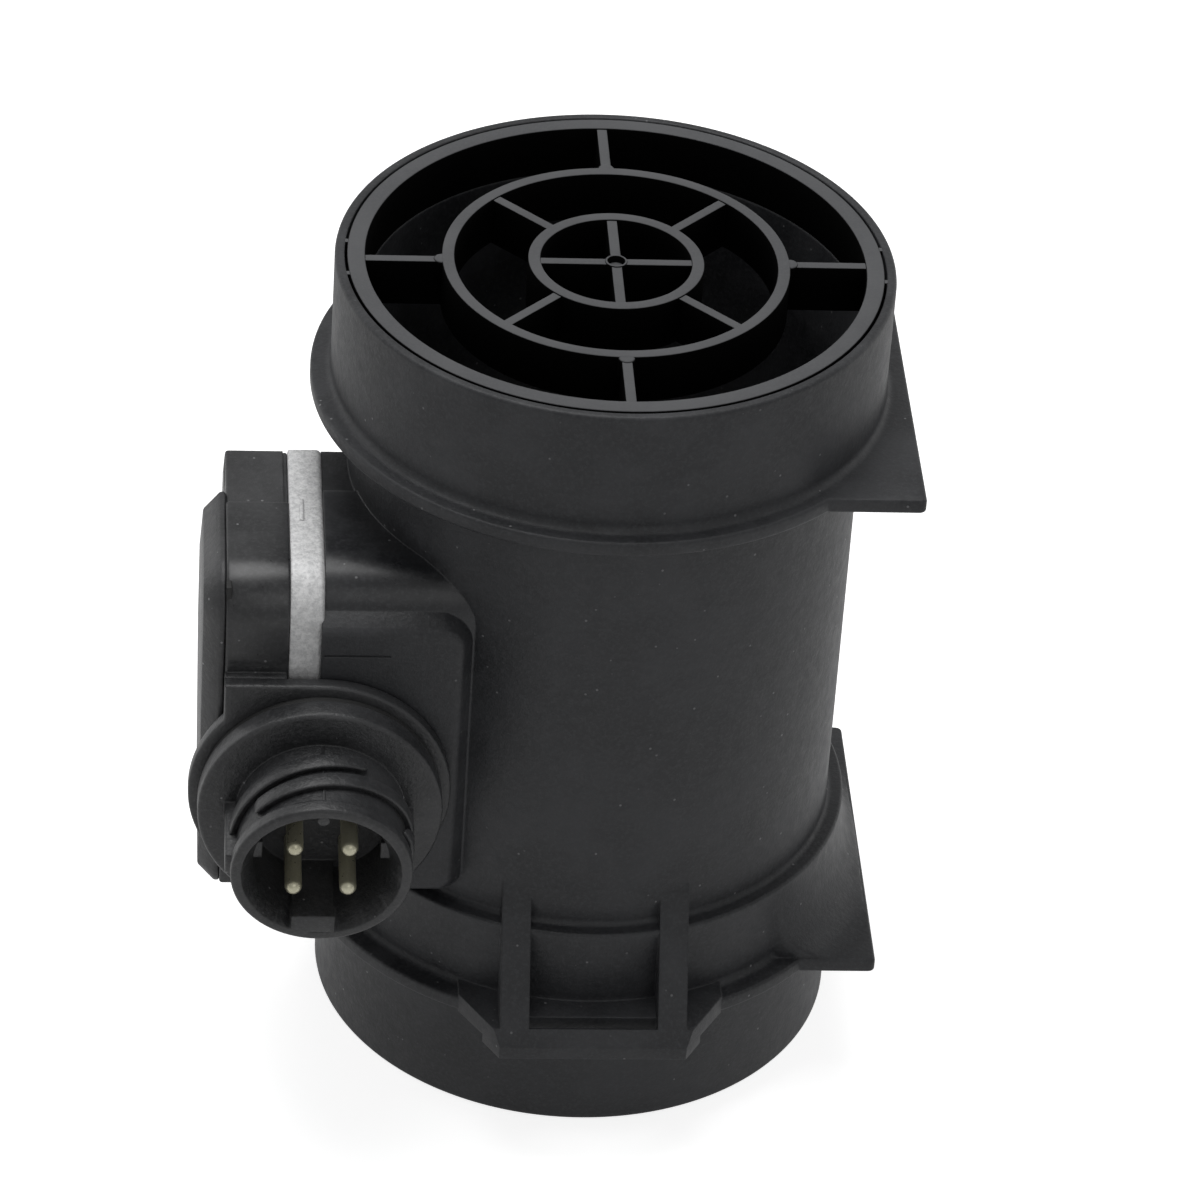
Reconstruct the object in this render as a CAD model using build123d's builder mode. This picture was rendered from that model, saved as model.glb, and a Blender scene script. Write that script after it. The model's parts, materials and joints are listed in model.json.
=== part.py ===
from build123d import *
import os
from math import cos, radians, sin, sqrt

os.makedirs("parts", exist_ok=True)

# Frame: the origin is the centre of the lower spigot's end face, +Z runs up the bore
# to the gridded end, -X points to the electronics module, -Y is where the connector points

# Duct
duct_length = 134.8
top_spigot_r = 42.5
spigot_step = 1.0
low_spigot_r = top_spigot_r - spigot_step
rim_wall = 1.5
body_inset = 3.15
body_r = top_spigot_r - body_inset
body_wall = 2.5
rim_chamfer = 0.6
flange_reach = 6.25
flange_r = body_r + flange_reach
flange_t = 2.4
low_flange_z = 21.6
top_flange_z = 112.2
ring_step = 2.65
ring_r = body_r + ring_step
ring_top_z = 37.8
root_fillet = 1.3
edge_round = 0.5

# Square ears of the two flanges, on the side away from the module
ear_reach = 0.2
ear_x = flange_r + ear_reach
top_ear_y = 33.4
low_ear_y = 30.6
ear_corner = 1.5
ear_cove_reach = 8.0
ear_cove_start_x = 28.0

# Loops at front and back that the air box's wire clips hook under
loop_outer_x = 14.5
loop_rib_w = 4.5
loop_reach = 5.0
loop_front_y = flange_r + loop_reach
loop_bar_h = 4.6
loop_bar_t = 2.0
loop_rise = 0.7
loop_rib_top_z = 45.0
loop_nose_h = 2.2
loop_base_x = 20.6
loop_slot_gap = 0.4
hose_room = 5.0

# Grid in the upper rim
grid_h = 8.0
grid_seat_r = top_spigot_r - rim_wall
grid_gap = 0.35
grid_frame_w = 2.75
grid_frame_inner_r = grid_seat_r - grid_gap - grid_frame_w
grid_ring_w = 1.9
mid_ring_share = 0.67
inner_ring_share = 0.327
mid_ring_r = grid_frame_inner_r * mid_ring_share
inner_ring_r = grid_frame_inner_r * inner_ring_share
spoke_w = 1.6
hub_r = 1.7
hub_nub_r = 1.1
hub_dimple = 1.2
joint_nub_r = 1.3
joint_nub_h = 2.0

# Wire mesh in the lower spigot
mesh_seat_wall = 2.6
mesh_seat_r = low_spigot_r - mesh_seat_wall
mesh_seat_z = 20.0
mesh_ring_h = 5.0
mesh_ring_wall = 2.0
mesh_gap = 0.1
mesh_pitch = 6.2
mesh_wire = 0.9

# Electronics module, stacked outwards along -X
plate_offset = 4.05
plate_inner_x = body_r + plate_offset
plate_t = 5.2
housing_t = 9.6
lid_t = 3.4
pylon_inset = 5.85
pylon_front_y = body_r - pylon_inset
plate_overhang = 1.5
module_front_y = pylon_front_y + plate_overhang
module_back_y = 14.0
module_top_z = 98.5
module_low_z = 40.0
module_front_r = 8.0
module_low_r = 4.0
back_clip = 12.8
back_low_clip = 8.0
lug_edge_y = 12.5
lug_drop = 1.0
lug_gap = 0.7
lug_gap_depth = 2.2
lid_bevel = 2.6
lid_clip_inset = 10.8
lid_edge_inset = 0.4
lid_pocket = 1.6
lid_wall = 3.6
seal_inset = 1.0
seal_w = 1.2
seal_depth = 0.8

# Pylon between duct and plate, and the pad on its front
pylon_step_y = 9.5
pylon_step = 0.9
pad_rise = 2.5
pad_face_y = pylon_front_y + pad_rise
pad_right_x = 19.9
pad_low_z = 39.2
pad_top_z = 93.6
pad_corner = 8.5
pad_low_corner = 4.0
pad_slope = 34.0
pad_root = 1.5
pad_round = 1.6

# Arm that carries the elements into the air stream
arm_z = 67.4
arm_w = 9.0
arm_h = 15.0
arm_corner = 2.0
arm_gap = 0.25
arm_root_inset = 1.4
tube_r = 12.5
tube_wall = 1.6
tube_h = 30.0
blade_l = 8.0
blade_h = 7.0
carrier_seal_w = 1.8
carrier_seal_depth = 1.2
carrier_seal_inset = 3.0
seal_gap = 0.05
gasket_w = 2.0
gasket_depth = 1.0
gasket_margin = 3.2
film_w = 4.0
film_l = 11.0
film_t = 0.6
film_pitch = 6.0
film_sink = 2.0
film_gap = 0.05

# Board and what is on it
board_t = 1.0
board_clear = 0.5
board_low_z = 46.0
board_top_z = 92.0
board_window_gap = 1.0
chip_w = 9.0
chip_t = 1.4
chip_y = 12.0
chip_z = 83.5
cap_w = 3.2
cap_h = 2.5
cap_t = 1.6
cap_count = 4
cap_z = 53.0
lead_w = 3.0
lead_t = 1.2
lead_h = 26.0
lead_inset = 9.5
lead_y = module_front_y - lead_inset
cap_clear = 3.8
cap_back_clear = 15.4
cap_y = cap_back_clear + cap_w / 2 - module_back_y
cap_last_y = lead_y - lead_w / 2 - cap_clear - cap_w / 2
cap_pitch = (cap_last_y - cap_y) / (cap_count - 1)
gel_t = 3.2

# Screws that hold plate and module to the pylon
screw_r = 2.0
screw_head_r = 2.8
screw_head_gap = 0.3
screw_head_h = 2.6
screw_socket_r = 1.4
screw_len = 15.0
screw_tip_gap = 0.6
screw_socket_h = 1.5
screw_gap = 0.2
screw_top_y = 0.5
screw_top_z = 93.8
screw_low_y = 6.0
screw_low_z = 45.4
screw_seat = 6.2

# Connector
connector_x = plate_inner_x
connector_z = 62.5
connector_tilt = 6.6
rear_collar_r = 20.0
rear_collar_t = 2.4
front_collar_r = 18.6
front_collar_t = 3.8
collar_core_r = 17.0
collar_groove = 1.3
collar_clear = 0.2
shell_r = 12.9
shell_rib_r = 13.9
shell_bore_r = 10.3
shell_len = 13.4
shell_band = 2.6
shell_floor = 1.2
shell_root = 3.0
helix_pitch = 12.0
helix_w = 1.9
helix_crest_w = 1.4
helix_turn = 200.0
helix_start = 1.8
rib_count = 3
rib_sink = 0.4
rib_start_deg = -60.0
band_r = 13.7
mouth_nub_r = 0.9
key_x = -1.0
key_w = 6.5
key_h = 1.6
side_key_w = 3.2
side_key_h = 1.4
side_key_y = 1.5
key_start = 4.0
lug_w = 4.0
lug_reach = 1.6
boss_low_z = 43.0
boss_gap = 0.2
plug_seal_r = 18.3
plug_seal_gap = 0.1
pin_r = 1.3
pin_pitch = 8.2
pin_len = 11.4
pin_root = 6.5
pin_tip_round = 1.2


bore_r = body_r - body_wall
low_flange_top = low_flange_z + flange_t
top_flange_top = top_flange_z + flange_t
grid_seat_z = duct_length - grid_h
plate_outer_x = plate_inner_x + plate_t
housing_outer_x = plate_outer_x + housing_t
screw_places = ((screw_top_y, screw_top_z), (screw_low_y, screw_low_z))
screw_bite = screw_len - screw_seat - plate_t
arm_hole_w = arm_w + 2 * arm_gap
arm_hole_h = arm_h + 2 * arm_gap
clip_share = 2 - sqrt(2)


def side_plane(x):
    """Plane across X: its own x runs along +Y and its own y along +Z."""
    return Plane(origin=(x, 0, 0), x_dir=(0, 1, 0), z_dir=(1, 0, 0))


def front_plane(y):
    """Plane across Y, facing the front: its own x runs along +X and its own y along +Z."""
    return Plane(origin=(0, y, 0), x_dir=(1, 0, 0), z_dir=(0, -1, 0))


def module_outline(inset=0.0, front_y=module_front_y, extra_clip=0.0):
    """Outline of the module across X, drawn in by inset, with its two rear corners clipped."""
    front, back = -front_y + inset, module_back_y - inset
    low, top = module_low_z + inset, module_top_z - inset
    clip = back_clip + extra_clip - inset * clip_share
    low_clip = back_low_clip + extra_clip - inset * clip_share
    with BuildSketch() as outline:
        with BuildLine():
            Polyline(
                (front, low), (back - low_clip, low), (back, low + low_clip),
                (back, top - clip), (back - clip, top), (front, top), close=True,
            )
        make_face()
        front_corners = outline.vertices().group_by(Axis.X)[0].sort_by(Axis.Y)
        fillet(front_corners[0], max(module_low_r - inset, edge_round))
        fillet(front_corners[-1], max(module_front_r - inset, edge_round))
    return outline.sketch


def circles_at(part, height, radius):
    """The circular edges of a part that lie at a height and have a radius."""
    level = part.edges().filter_by_position(Axis.Z, height - 0.01, height + 0.01)
    return [e for e in level.filter_by(GeomType.CIRCLE) if abs(e.radius - radius) < 0.01]


def save(solid, name):
    """Name a finished piece and write it."""
    solid.label = name
    export_step(solid, f"parts/{name}.step")


# Cove that carries the ring's wall out onto the lower ear
cove_crest_z = ring_top_z - 2 * edge_round
with BuildPart() as ear_cove:
    with BuildSketch(Plane.XZ):
        with BuildLine():
            Polyline(
                (ring_r, cove_crest_z), (bore_r, cove_crest_z), (bore_r, low_flange_top),
                (ring_r + ear_cove_reach, low_flange_top),
            )
            Bezier(
                (ring_r + ear_cove_reach, low_flange_top), (ring_r, low_flange_top),
                (ring_r, cove_crest_z),
            )
        make_face()
    revolve(axis=Axis.Z)
    with BuildSketch(Plane.XY.offset(low_flange_top)):
        with Locations(((ear_x + ear_cove_start_x) / 2, 0)):
            Rectangle(ear_x - ear_cove_start_x, 2 * low_ear_y)
    extrude(amount=cove_crest_z - low_flange_top, mode=Mode.INTERSECT)

# Clip loop at the front: a wedge-shaped side profile, cut to the tab's plan, then opened
loop_inner_x = loop_outer_x - loop_rib_w
loop_top_z = low_flange_top + loop_rise
loop_base_z = loop_top_z - loop_bar_h
loop_root_y = sqrt(flange_r**2 - loop_base_x**2)
loop_heel_y = low_spigot_r + hose_room
loop_crest_y = sqrt(body_r**2 - loop_outer_x**2) - edge_round
slot_back_y = flange_r + loop_slot_gap
slot_front_y = loop_front_y - loop_bar_t
with BuildPart() as clip_loop:
    with BuildSketch(side_plane(-loop_base_x)):
        with BuildLine():
            Polyline(
                (-loop_crest_y, low_flange_z), (-loop_heel_y, low_flange_z),
                (-loop_heel_y, loop_base_z), (-loop_front_y, loop_base_z),
                (-loop_front_y, loop_base_z + loop_nose_h), (-loop_crest_y, loop_rib_top_z),
                close=True,
            )
        make_face()
    extrude(amount=2 * loop_base_x)
    with BuildSketch(Plane.XY.offset(loop_base_z)):
        with BuildLine():
            Polyline(
                (-loop_base_x, 0), (-loop_base_x, -loop_root_y), (-loop_outer_x, -loop_front_y),
                (loop_outer_x, -loop_front_y), (loop_base_x, -loop_root_y), (loop_base_x, 0),
                close=True,
            )
        make_face()
    extrude(amount=loop_rib_top_z - loop_base_z, mode=Mode.INTERSECT)
    with BuildSketch(Plane.XY.offset(loop_top_z)):
        Rectangle(2 * loop_inner_x, 2 * loop_front_y)
        with Locations((-loop_base_x, 0), (loop_base_x, 0)):
            Rectangle(2 * (loop_base_x - loop_outer_x), 2 * loop_front_y)
    extrude(amount=loop_rib_top_z, mode=Mode.SUBTRACT)
    with BuildSketch(Plane.XY.offset(loop_base_z)):
        with Locations((0, -(slot_back_y + slot_front_y) / 2)):
            Rectangle(2 * loop_inner_x, slot_front_y - slot_back_y)
    extrude(amount=loop_bar_h, mode=Mode.SUBTRACT)

# Sill behind the loop's slot, which stays with the duct
with BuildPart() as loop_sill:
    add(clip_loop.part)
    with BuildSketch(Plane.XY):
        Rectangle(2 * loop_inner_x, 2 * slot_back_y)
    extrude(amount=duct_length, mode=Mode.INTERSECT)

# Pylon between the duct's wall and the plate, with its rear part a step lower
with BuildPart() as pylon:
    with BuildSketch(side_plane(-plate_inner_x)):
        add(module_outline(front_y=pylon_front_y))
    extrude(amount=plate_inner_x)
    with BuildSketch(side_plane(-plate_inner_x)):
        with Locations((-pylon_step_y, module_top_z)):
            Rectangle(module_back_y + pylon_step_y, 2 * pylon_step, align=(Align.MIN, Align.CENTER))
    extrude(amount=plate_inner_x, mode=Mode.SUBTRACT)

# Pad on the pylon's front, with sloped sides
with BuildPart() as pad:
    with BuildSketch(front_plane(-pylon_front_y + pad_root)) as pad_sketch:
        with BuildLine():
            Polyline(
                (-pad_right_x, pad_low_z), (-pad_right_x, pad_top_z), (-plate_outer_x, pad_top_z),
                (-plate_outer_x, pad_low_z), close=True,
            )
        make_face()
        right_corners = pad_sketch.vertices().group_by(Axis.X)[-1].sort_by(Axis.Y)
        fillet(right_corners[0], pad_low_corner)
        fillet(right_corners[-1], pad_corner)
    extrude(amount=pad_rise + pad_root, taper=pad_slope)
    fillet(pad.faces().sort_by(Axis.Y)[0].edges(), pad_round)
    with BuildSketch(side_plane(-plate_inner_x)):
        with Locations((-pad_face_y, (pad_low_z + pad_top_z) / 2)):
            Rectangle(2 * pad_face_y, 2 * pad_top_z)
    extrude(amount=plate_inner_x, mode=Mode.INTERSECT)

# Duct body: turned sections, ears, sills, pylon and pad, then the bores and the arm's hole
with BuildPart() as duct_body:
    with BuildSketch(Plane.XZ):
        with BuildLine():
            Polyline(
                (0, 0), (low_spigot_r, 0), (low_spigot_r, low_flange_z),
                (flange_r, low_flange_z), (flange_r, low_flange_top),
                (ring_r, low_flange_top), (ring_r, ring_top_z), (body_r, ring_top_z),
                (body_r, top_flange_z), (flange_r, top_flange_z), (flange_r, top_flange_top),
                (top_spigot_r, top_flange_top), (top_spigot_r, duct_length), (0, duct_length),
                close=True,
            )
        make_face()
    revolve(axis=Axis.Z)
    for rim_z, rim_r in ((0, low_spigot_r), (duct_length, top_spigot_r)):
        chamfer(circles_at(duct_body, rim_z, rim_r), rim_chamfer)
    for root_z, root_r in ((top_flange_top, top_spigot_r), (ring_top_z, body_r)):
        fillet(circles_at(duct_body, root_z, root_r), root_fillet)
    fillet(circles_at(duct_body, ring_top_z, ring_r), edge_round)
    for ear_z, ear_y in ((top_flange_z, top_ear_y), (low_flange_z, low_ear_y)):
        with BuildSketch(Plane.XY.offset(ear_z)):
            with Locations((ear_x / 2, 0)):
                ear_plate = Rectangle(ear_x, 2 * ear_y)
            fillet(ear_plate.vertices().group_by(Axis.X)[-1], ear_corner)
        extrude(amount=flange_t)
    add(ear_cove.part)
    add(loop_sill.part)
    add(loop_sill.part.mirror(Plane.XZ))
    add(pylon.part)
    add(pad.part)
    with BuildSketch(Plane.XZ):
        with BuildLine():
            Polyline(
                (0, 0), (mesh_seat_r, 0), (mesh_seat_r, mesh_seat_z), (bore_r, mesh_seat_z),
                (bore_r, top_flange_z), (grid_frame_inner_r, grid_seat_z),
                (grid_seat_r, grid_seat_z), (grid_seat_r, duct_length), (0, duct_length),
                close=True,
            )
        make_face()
    revolve(axis=Axis.Z, mode=Mode.SUBTRACT)
    with BuildSketch(side_plane(-plate_inner_x)):
        with Locations((0, arm_z)):
            RectangleRounded(arm_hole_w, arm_hole_h, arm_corner)
    extrude(amount=plate_inner_x, mode=Mode.SUBTRACT)
    with BuildSketch(side_plane(-plate_inner_x)):
        with Locations((0, arm_z)):
            gasket_in = 2 * gasket_margin
            gasket_out = 2 * (gasket_margin + gasket_w)
            RectangleRounded(
                arm_hole_w + gasket_out, arm_hole_h + gasket_out, arm_corner + gasket_margin
            )
            RectangleRounded(
                arm_hole_w + gasket_in, arm_hole_h + gasket_in, arm_corner + gasket_margin / 2,
                mode=Mode.SUBTRACT,
            )
    extrude(amount=gasket_depth, mode=Mode.SUBTRACT)
    with BuildSketch(side_plane(-plate_inner_x)):
        with Locations(*screw_places):
            Circle(screw_r)
    extrude(amount=screw_bite + screw_tip_gap, mode=Mode.SUBTRACT)
save(duct_body.part, "duct_body")

# The two clip loops, cut to sit on the duct's flange, ring and wall
for loop_solid, name in (
    (clip_loop.part, "front_clip_loop"), (clip_loop.part.mirror(Plane.XZ), "back_clip_loop"),
):
    with BuildPart() as seated_loop:
        add(loop_solid)
        add(duct_body.part, mode=Mode.SUBTRACT)
        with BuildSketch(Plane.XY):
            Circle(bore_r)
        extrude(amount=duct_length, mode=Mode.SUBTRACT)
    save(seated_loop.part, name)

# Inlet grid: frame, two rings, hub and twelve spokes, all one moulding
ring_mid_outer = mid_ring_r + grid_ring_w / 2
ring_mid_inner = mid_ring_r - grid_ring_w / 2
ring_in_outer = inner_ring_r + grid_ring_w / 2
ring_in_inner = inner_ring_r - grid_ring_w / 2
with BuildPart() as inlet_grid:
    with BuildSketch(Plane.XY.offset(grid_seat_z)):
        Circle(grid_seat_r - grid_gap)
        Circle(grid_frame_inner_r, mode=Mode.SUBTRACT)
        Circle(ring_mid_outer)
        Circle(ring_mid_inner, mode=Mode.SUBTRACT)
        Circle(ring_in_outer)
        Circle(ring_in_inner, mode=Mode.SUBTRACT)
        Circle(hub_r)
        with PolarLocations(0, 4):
            spoke_reaches = ((0, ring_in_inner), (ring_mid_outer, grid_frame_inner_r))
            for reach_in, reach_out in spoke_reaches:
                with Locations((reach_in - edge_round, 0)):
                    Rectangle(
                        reach_out - reach_in + 2 * edge_round, spoke_w,
                        align=(Align.MIN, Align.CENTER),
                    )
        with PolarLocations(0, 4, start_angle=45):
            with Locations((ring_in_outer - edge_round, 0)):
                Rectangle(
                    ring_mid_inner - ring_in_outer + 2 * edge_round, spoke_w,
                    align=(Align.MIN, Align.CENTER),
                )
    extrude(amount=grid_h)
    with BuildSketch(Plane.XY.offset(duct_length)):
        Circle(hub_nub_r)
        with PolarLocations(ring_mid_outer, 4):
            Circle(joint_nub_r)
    extrude(amount=-joint_nub_h)
    with BuildSketch(Plane.XY.offset(duct_length)):
        Circle(hub_nub_r)
    extrude(amount=-hub_dimple, mode=Mode.SUBTRACT)
save(inlet_grid.part, "inlet_grid")

# Mesh ring and mesh in the lower spigot
mesh_ring_r = mesh_seat_r - mesh_gap
mesh_r = mesh_ring_r - mesh_ring_wall
mesh_z = mesh_seat_z - mesh_ring_h / 2
with BuildPart() as mesh_ring:
    with BuildSketch(Plane.XY.offset(mesh_seat_z - mesh_ring_h)):
        Circle(mesh_ring_r)
        Circle(mesh_r, mode=Mode.SUBTRACT)
    extrude(amount=mesh_ring_h)
    chamfer(circles_at(mesh_ring, mesh_seat_z - mesh_ring_h, mesh_r), edge_round)
save(mesh_ring.part, "mesh_ring")

mesh_count = int(2 * mesh_r / mesh_pitch)
with BuildPart() as outlet_mesh:
    with BuildSketch(Plane.XY.offset(mesh_z - mesh_wire / 2)):
        Circle(mesh_r)
        with BuildSketch(mode=Mode.SUBTRACT):
            with GridLocations(mesh_pitch, mesh_pitch, mesh_count + 1, mesh_count + 1):
                Rectangle(mesh_pitch - mesh_wire, mesh_pitch - mesh_wire)
            Circle(mesh_r - mesh_wire, mode=Mode.INTERSECT)
    extrude(amount=mesh_wire)
save(outlet_mesh.part, "outlet_mesh")

# Arm with its measuring tube, the two ceramic elements and the seal in the pylon's hole
arm_root_x = plate_outer_x + arm_root_inset
seal_x = plate_inner_x - carrier_seal_inset
blade_tip_x = tube_r - tube_wall - blade_l
with BuildPart() as sensing_carrier:
    with BuildSketch(side_plane(-arm_root_x)):
        with Locations((0, arm_z)):
            RectangleRounded(arm_w, arm_h, arm_corner)
    extrude(amount=arm_root_x - tube_r + tube_wall / 2)
    with BuildSketch(Plane.XY.offset(arm_z - tube_h / 2)):
        Circle(tube_r)
    extrude(amount=tube_h)
    chamfer(
        circles_at(sensing_carrier, arm_z + tube_h / 2, tube_r)
        + circles_at(sensing_carrier, arm_z - tube_h / 2, tube_r),
        edge_round,
    )
    with BuildSketch(Plane.XY.offset(arm_z - tube_h / 2)):
        Circle(tube_r - tube_wall)
    extrude(amount=tube_h, mode=Mode.SUBTRACT)
    with BuildSketch(side_plane(-tube_r + tube_wall / 2)):
        with Locations((0, arm_z)):
            Rectangle(arm_w, blade_h)
    extrude(amount=tube_wall / 2 + blade_l)
    with BuildSketch(side_plane(-blade_tip_x)):
        with Locations((-film_pitch / 2, arm_z), (film_pitch / 2, arm_z)):
            Rectangle(film_t + 2 * film_gap, film_w + 2 * film_gap)
    extrude(amount=-film_sink, mode=Mode.SUBTRACT)
    with BuildSketch(side_plane(-seal_x - carrier_seal_w)):
        with Locations((0, arm_z)):
            RectangleRounded(arm_w + 2, arm_h + 2, arm_corner)
            RectangleRounded(
                arm_w - 2 * carrier_seal_depth, arm_h - 2 * carrier_seal_depth,
                arm_corner / 2, mode=Mode.SUBTRACT,
            )
    extrude(amount=carrier_seal_w, mode=Mode.SUBTRACT)
save(sensing_carrier.part, "sensing_carrier")

for name, place_y in (("hot_film_element", -film_pitch / 2), ("air_temperature_element", film_pitch / 2)):
    with BuildPart() as element:
        with BuildSketch(side_plane(-blade_tip_x - film_sink + film_gap)):
            with Locations((place_y, arm_z)):
                Rectangle(film_t, film_w)
        extrude(amount=film_l)
    save(element.part, name)

with BuildPart() as carrier_seal:
    with BuildSketch(side_plane(-seal_x - carrier_seal_w + seal_gap)):
        with Locations((0, arm_z)):
            RectangleRounded(arm_hole_w - 2 * seal_gap, arm_hole_h - 2 * seal_gap, arm_corner)
            RectangleRounded(
                arm_w - 2 * carrier_seal_depth + 2 * seal_gap,
                arm_h - 2 * carrier_seal_depth + 2 * seal_gap,
                arm_corner / 2, mode=Mode.SUBTRACT,
            )
    extrude(amount=carrier_seal_w - 2 * seal_gap)
save(carrier_seal.part, "carrier_seal")

with BuildPart() as plate_gasket:
    with BuildSketch(side_plane(-plate_inner_x)):
        with Locations((0, arm_z)):
            RectangleRounded(
                arm_hole_w + gasket_out - 2 * seal_gap, arm_hole_h + gasket_out - 2 * seal_gap,
                arm_corner + gasket_margin,
            )
            RectangleRounded(
                arm_hole_w + gasket_in + 2 * seal_gap, arm_hole_h + gasket_in + 2 * seal_gap,
                arm_corner + gasket_margin / 2, mode=Mode.SUBTRACT,
            )
    extrude(amount=gasket_depth - seal_gap)
save(plate_gasket.part, "plate_gasket")

# Heat sink plate
with BuildPart() as heat_sink_plate:
    with BuildSketch(side_plane(-plate_outer_x)):
        add(module_outline())
        with Locations((0, arm_z)):
            RectangleRounded(arm_hole_w, arm_hole_h, arm_corner, mode=Mode.SUBTRACT)
        with Locations(*screw_places):
            Circle(screw_r + screw_gap, mode=Mode.SUBTRACT)
    extrude(amount=plate_t)
save(heat_sink_plate.part, "heat_sink_plate")

# Places along Y of what the housing carries on its front, and the connector's own frame
cavity_inset = lid_edge_inset + lid_wall
collar_back_y = pad_face_y + collar_clear
groove_y = collar_back_y + rear_collar_t
front_collar_y = groove_y + collar_groove
shell_root_y = front_collar_y + front_collar_t
collar_top_z = connector_z + rear_collar_r
connector_place = (-connector_x, connector_z)
tilt = radians(connector_tilt)
shell_plane = Plane(
    origin=(-connector_x, -shell_root_y, connector_z), x_dir=(1, 0, 0),
    z_dir=(0, -cos(tilt), -sin(tilt)),
)
pin_spots = [(x * pin_pitch / 2, y * pin_pitch / 2) for y in (1, -1) for x in (-1, 1)]

# One rib of the bayonet, wound about the shell's own axis
with BuildPart() as bayonet_rib:
    with BuildLine() as rib_path:
        Helix(helix_pitch, helix_pitch * helix_turn / 360, shell_r, center=(0, 0, helix_start))
    with BuildSketch(Plane(rib_path.line @ 0, x_dir=(1, 0, 0), z_dir=rib_path.line % 0)):
        with BuildLine():
            Polyline(
                (-rib_sink, -helix_w / 2 - rib_sink), (shell_rib_r - shell_r, -helix_crest_w / 2),
                (shell_rib_r - shell_r, helix_crest_w / 2), (-rib_sink, helix_w / 2 + rib_sink),
                close=True,
            )
        make_face()
    sweep(is_frenet=True)

# Connector shell on its own axis: barrel, band, lug and ribs, with the keyed bore opened last
with BuildPart() as shell:
    with BuildSketch(Plane.XY.offset(-shell_root)):
        Circle(shell_r)
    extrude(amount=shell_root + shell_len)
    with BuildSketch(Plane.XY.offset(shell_len - shell_band)):
        Circle(band_r)
    extrude(amount=shell_band)
    with BuildSketch(Plane.XY):
        with Locations((-shell_r + lug_reach, 0)):
            Rectangle(2 * lug_reach, lug_w, align=(Align.MAX, Align.CENTER))
    extrude(amount=shell_len - shell_band)
    for turn in range(rib_count):
        add(bayonet_rib.part.rotate(Axis.Z, rib_start_deg + turn * 360 / rib_count))
    chamfer(circles_at(shell, shell_len, band_r), edge_round)
    with BuildSketch(Plane.XY.offset(shell_floor)):
        Circle(shell_bore_r)
        with Locations((key_x, -shell_bore_r)):
            Rectangle(key_w, 2 * key_h, mode=Mode.SUBTRACT)
        with Locations((-shell_bore_r, side_key_y), (shell_bore_r, side_key_y)):
            Rectangle(2 * side_key_h, side_key_w, mode=Mode.SUBTRACT)
        with Locations((0, shell_bore_r)):
            Circle(mouth_nub_r, mode=Mode.SUBTRACT)
    extrude(amount=shell_len, mode=Mode.SUBTRACT)
    with BuildSketch(Plane.XY.offset(shell_len - key_start)):
        Circle(shell_bore_r)
        with Locations((key_x, -shell_bore_r)):
            Rectangle(key_w, 2 * key_h, mode=Mode.SUBTRACT)
    extrude(amount=key_start, mode=Mode.SUBTRACT)

# Holes that the contact pins are moulded into
with BuildPart() as pin_holes:
    with BuildSketch(Plane.XY.offset(shell_floor - pin_root)):
        with Locations(*pin_spots):
            Circle(pin_r)
    extrude(amount=pin_root)

# Housing: a frame with lugs for the screws, and the connector moulded on its front
with BuildPart() as module_housing:
    with BuildSketch(side_plane(-housing_outer_x)):
        add(module_outline())
    extrude(amount=housing_t)
    with BuildSketch(side_plane(-housing_outer_x)):
        with Locations((-lug_edge_y, module_top_z)):
            Rectangle(module_back_y + lug_edge_y, 2 * lug_drop, align=(Align.MIN, Align.CENTER))
    extrude(amount=housing_t, mode=Mode.SUBTRACT)
    with BuildSketch(side_plane(-plate_outer_x - lug_gap)):
        with Locations((-lug_edge_y, module_top_z)):
            Rectangle(
                module_back_y + lug_edge_y, 2 * lug_gap_depth, align=(Align.MIN, Align.CENTER)
            )
    extrude(amount=lug_gap, mode=Mode.SUBTRACT)
    with BuildSketch(front_plane(-module_front_y + edge_round)):
        with Locations((-housing_outer_x, boss_low_z)):
            Rectangle(housing_t - boss_gap, collar_top_z - boss_low_z, align=(Align.MIN, Align.MIN))
    extrude(amount=collar_back_y - module_front_y + edge_round)
    with BuildSketch(front_plane(-collar_back_y)):
        with Locations(connector_place):
            Circle(rear_collar_r)
        with Locations((-connector_x, collar_top_z)):
            Rectangle(housing_outer_x - connector_x, rear_collar_r, align=(Align.MAX, Align.MAX))
    extrude(amount=rear_collar_t)
    with BuildSketch(front_plane(-groove_y)):
        with Locations(connector_place):
            Circle(collar_core_r)
    extrude(amount=collar_groove)
    with BuildSketch(front_plane(-front_collar_y)):
        with Locations(connector_place):
            Circle(front_collar_r)
    extrude(amount=front_collar_t)
    add(shell_plane.location * shell.part)
    add(shell_plane.location * pin_holes.part, mode=Mode.SUBTRACT)
    with BuildSketch(side_plane(-housing_outer_x)):
        add(module_outline(cavity_inset, extra_clip=lid_clip_inset))
    extrude(amount=housing_t, mode=Mode.SUBTRACT)
    with BuildSketch(side_plane(-housing_outer_x)):
        add(module_outline(lid_edge_inset + seal_inset, extra_clip=lid_clip_inset))
        add(
            module_outline(lid_edge_inset + seal_inset + seal_w, extra_clip=lid_clip_inset),
            mode=Mode.SUBTRACT,
        )
    extrude(amount=seal_depth, mode=Mode.SUBTRACT)
    with BuildSketch(side_plane(-plate_outer_x - screw_seat)):
        with Locations(*screw_places):
            Circle(screw_r + screw_gap)
    extrude(amount=screw_seat, mode=Mode.SUBTRACT)
    with BuildSketch(side_plane(-housing_outer_x)):
        with Locations(*screw_places):
            Circle(screw_head_r + screw_head_gap)
    extrude(amount=housing_t - screw_seat, mode=Mode.SUBTRACT)
save(module_housing.part, "module_housing")

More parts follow.
